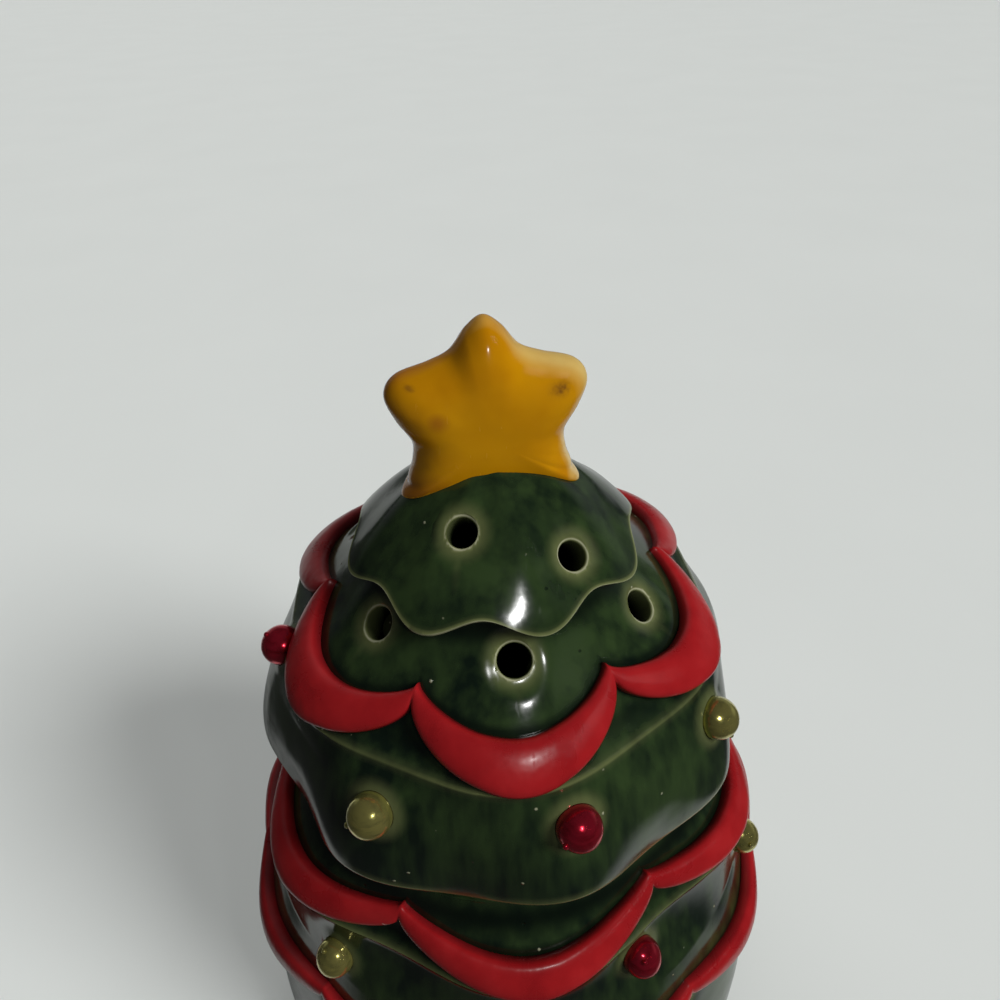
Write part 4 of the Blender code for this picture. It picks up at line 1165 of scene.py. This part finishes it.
def star_outline(steps=12):
    """A smooth closed curve through the outline's points."""
    knots = list(STAR_HALF_OUTLINE) + [(-x, z) for x, z in reversed(STAR_HALF_OUTLINE[1:])]
    points = []
    for i in range(len(knots)):
        before, start, end, after = (np.array(knots[(i + k) % len(knots)]) for k in (-1, 0, 1, 2))
        for t in np.arange(steps) / steps:
            square = 2 * before - 5 * start + 4 * end - after
            cube = 3 * start - before - 3 * end + after
            points.append(0.5 * (2 * start + (end - before) * t + square * t ** 2 + cube * t ** 3))
    return np.array(points)


def star_grid(rings=30):
    """Rings from the middle of the back, out to the outline and in to the middle of the front."""
    outline = star_outline() - (0.0, STAR_MIDDLE)
    turn = np.arctan2(outline[:, 0], outline[:, 1])
    circle = np.stack((STAR_HEART * np.sin(turn), STAR_HEART * np.cos(turn) * 0.7), axis=1)
    shares = np.sin(np.linspace(0, pi / 2, rings))
    rows = []
    for share, side in [(s, 1) for s in shares] + [(s, -1) for s in shares[-2::-1]]:
        shape = share * (outline * share + circle * (1 - share))
        depth = side * STAR_THICKNESS / 2 * max(1 - share ** STAR_FULLNESS, 0.0) ** 0.5
        rows.append(np.stack((shape[:, 0] * STAR_SPAN / 2, np.full(len(shape), depth),
                              STAR_FOOT + (STAR_MIDDLE + shape[:, 1]) * STAR_HEIGHT), axis=1))
    return np.array(rows)


def star_glaze():
    """Amber glaze, honey where it is thick and cream where it ran off and as painted highlight on the
    right, brown as painted shade on the left and lower left and in a stain, with a few brown blisters.
    """
    material, tree, shader, where = painted("amber_glaze")
    clouds = noise(tree, where, 90.0, 3.0)
    colour = ramp(tree, clouds, ((0.30, (0.42, 0.170, 0.0006, 1)), (0.52, (0.47, 0.205, 0.0008, 1)),
                                 (0.75, (0.51, 0.235, 0.001, 1))))
    rim = kept(tree, "thin")
    burnt = kept(tree, "burnt")
    ragged = times(tree, minus(tree, clouds, 0.5), 0.6)
    # Cream for thin glaze on the edges and for painted highlight on the right
    cream = spread(tree, plus(tree, rim, ragged), 0.40, 1.0)
    colour = blended(tree, times(tree, cream, 0.72), colour, (0.60, 0.46, 0.16, 1))
    # Brown for painted shade on the left and lower left, and for the stain
    brown = spread(tree, plus(tree, burnt, ragged), 0.30, 1.0)
    colour = blended(tree, times(tree, brown, 0.8), colour, (0.26, 0.072, 0.006, 1))
    spots = kept(tree, "blister")
    grit = spread(tree, noise(tree, where, 1400.0, 3.0), 0.35, 0.65, 0.5, 1.0)
    grit = times(tree, spots, grit)
    colour = blended(tree, grit, colour, (0.12, 0.045, 0.008, 1))
    rough = worn(tree, spread(tree, clouds, 0.3, 0.8, 0.14, 0.22), 0.3)
    surfaced(tree, shader, colour, rough, noise(tree, where, 140.0, 1.5), 0.0003)
    return material


def mark_star(mesh):
    """Where the glaze thinned on the edges, with painted highlight stronger towards the right and on the
    right foot, painted shade on the left edges and the lower left, a stain, and where it blistered.
    """
    x, y, z = places(mesh).T
    edge = 1 - np.minimum(np.abs(y) / (STAR_THICKNESS / 2), 1.0)
    # Thin glaze on the edges, with painted highlight: the cream is weighted towards the right side
    thin = np.clip(edge * 1.8 - 0.25, 0, 1) * np.clip(0.6 + x / 0.03, 0.25, 1.0)
    # Painted highlight on the right foot
    foot_highlight = faded(x - STAR_FOOT_HIGHLIGHT[0], 1.0, 0.0025) * faded(z - STAR_FOOT_HIGHLIGHT[1], 1.0, 0.003)
    thin = np.maximum(thin, foot_highlight)
    # Painted shade: brown on the left edges and over the lower left
    burnt = np.clip(edge * 1.4 - 0.5, 0, 1) * np.clip(0.35 - x / 0.022, 0, 1)
    burnt = np.maximum(burnt, 0.8 * np.clip((0.172 - z) / 0.006, 0, 1) * np.clip(-x / 0.008, 0, 1))
    spot_x, spot_z, size = STAR_STAIN
    stain = faded(np.hypot(x - spot_x, z - spot_z), 0.75, size) * (y < 0)
    burnt = np.maximum(burnt, stain)
    blister = np.zeros(len(x))
    for spot_x, spot_z, size in STAR_BLEMISHES:
        away = np.hypot(x - spot_x, (z - spot_z) * 1.5)
        blister = np.maximum(blister, faded(away, 1.0, size) * (y < 0))
    for name, values in (("thin", thin), ("burnt", burnt), ("blister", blister)):
        remember(mesh, values, name)


star_mesh = skin("star", star_grid())
mark_star(star_mesh)
star_mesh.transform(Matrix.Rotation(STAR_TURN, 4, "Z"))
star_cut = show("star_cut", star_mesh)
under_star = np.concatenate((lid_grid[:40], np.zeros((1, COLUMNS, 3)) + (0.0, 0.0, CROWN_HEM[1])))
star_bed = show("star_bed", skin("star_bed", under_star + (0.0, 0.0, 0.0001)))
carve(star_cut, star_bed)
seat_on(glazed(star_cut, "amber_star", star_glaze()), "lid", "gold_glaze", "star_topper")
for form in (base_form, lid_form):
    bpy.data.objects.remove(form, do_unlink=True)

# Studio: a plain pale floor. A soft key light stands to the right and in front, a weak fill behind and
# a small lamp close to the camera. The glaze mirrors only the pale sheet that the tree stands on.
FLOOR_REACH = 30.0
FLOOR_LEVEL = -0.0002
SHEET_FRONT = -0.05
SHEET_BACK = 1.0
SHEET_SIDE = 0.12
SHEET_SPREAD = 0.9
CAMERA_PLACE = (0.0014918, -0.108458, 0.2431842)
CAMERA_TURN = ((0.9992272, 0.0393071, 0.0), (-0.0240939, 0.6124915, -0.7901099),
               (-0.0310569, 0.7894992, 0.6129653))
KEY_FROM = (0.70, -0.38, 0.60)
FILL_FROM = (-0.25, 0.80, 0.55)
LAMP_PLACE = (0.030, -0.112, 0.235)


def floor_paper():
    """Pale paper. What the glaze mirrors or is lit by is only the sheet that the tree stands on."""
    finish = {"Emission Strength": 0.30, "Roughness": 0.8, "Specular IOR Level": 0.2}
    material, tree, shader, where = painted("floor_paper", finish)
    tone = ramp(tree, noise(tree, where, 9.0, 3.0), ((0.3, (0.56, 0.58, 0.56, 1)),
                                                     (0.7, (0.57, 0.59, 0.57, 1))))
    side, depth, _ = add(tree, "ShaderNodeSeparateXYZ", {0: where}).outputs
    widening = times(tree, maths(tree, "MAXIMUM", depth, 0.0), SHEET_SPREAD)
    beside = minus(tree, maths(tree, "ABSOLUTE", side), widening)
    off = maths(tree, "MAXIMUM", spread(tree, beside, SHEET_SIDE, SHEET_SIDE + 0.02),
                spread(tree, depth, SHEET_FRONT, SHEET_FRONT - 0.04))
    off = maths(tree, "MAXIMUM", off, spread(tree, depth, SHEET_BACK, SHEET_BACK + 0.4))
    path = add(tree, "ShaderNodeLightPath").outputs
    mirrored = blended(tree, off, tone, (0.04, 0.04, 0.04, 1))
    colour = blended(tree, path["Is Diffuse Ray"], mirrored, (0.16, 0.16, 0.15, 1))
    tree.links.new(blended(tree, path["Is Camera Ray"], colour, tone), shader.inputs["Base Color"])
    glow = blended(tree, path["Is Camera Ray"], (0.0, 0.0, 0.0, 1), tone)
    tree.links.new(glow, shader.inputs["Emission Color"])
    return material


def room():
    """Pale where the camera sees past the floor, and to the tree a dark room with a pale wall."""
    world = bpy.data.worlds.new("room")
    world.use_nodes = True
    tree = world.node_tree
    where = add(tree, "ShaderNodeTexCoord").outputs["Generated"]
    side, depth, height = add(tree, "ShaderNodeSeparateXYZ", {0: where}).outputs
    back = spread(tree, plus(tree, depth, times(tree, side, 0.25)), 0.15, 0.55)
    wall = times(tree, back, spread(tree, height, 0.22, 0.42, 1.0, 0.0))
    tone = blended(tree, wall, (0.022, 0.024, 0.026, 1), (0.16, 0.17, 0.17, 1))
    path = add(tree, "ShaderNodeLightPath").outputs
    tone = blended(tree, path["Is Diffuse Ray"], tone, (0.060, 0.062, 0.064, 1))
    tone = blended(tree, path["Is Camera Ray"], tone, (0.60, 0.62, 0.60, 1))
    tree.links.new(tone, tree.nodes["Background"].inputs["Color"])
    return world


def aimed(name, light, place, aim, mirrored=True):
    stand = bpy.data.objects.new(name, light)
    stand.location = place
    stand.rotation_euler = (Vector(aim) - Vector(place)).to_track_quat("-Z", "Y").to_euler()
    stand.visible_camera = False
    stand.visible_glossy = mirrored
    bpy.context.scene.collection.objects.link(stand)


floor_mesh = bpy.data.meshes.new("floor")
floor_corners = [(x * FLOOR_REACH, y * FLOOR_REACH, FLOOR_LEVEL)
                 for x, y in ((-1, -1), (1, -1), (1, 1), (-1, 1))]
floor_mesh.from_pydata(floor_corners, [], [(0, 1, 2, 3)])
show("floor", floor_mesh, floor_paper())
for name, energy, spread_angle, place in (("key", 3.1, 25, KEY_FROM), ("fill", 0.9, 60, FILL_FROM)):
    sun = bpy.data.lights.new(name, "SUN")
    sun.energy = energy
    sun.angle = radians(spread_angle)
    aimed(name, sun, place, (0.0, 0.0, 0.0), False)
lamp = bpy.data.lights.new("lamp", "AREA")
lamp.shape = "DISK"
lamp.size = 0.008
lamp.energy = 0.022
aimed("lamp", lamp, LAMP_PLACE, (0.0, -0.03, 0.14))
bpy.context.scene.world = room()
bpy.context.scene.view_settings.view_transform = "Standard"

camera = bpy.data.objects.new("camera", bpy.data.cameras.new("camera"))
camera.data.lens = 27.0
camera.data.sensor_width = 36.0
camera.data.clip_start = 0.01
camera.matrix_world = Matrix.Translation(CAMERA_PLACE) @ Matrix(CAMERA_TURN).to_4x4()
bpy.context.scene.collection.objects.link(camera)
bpy.context.scene.camera = camera
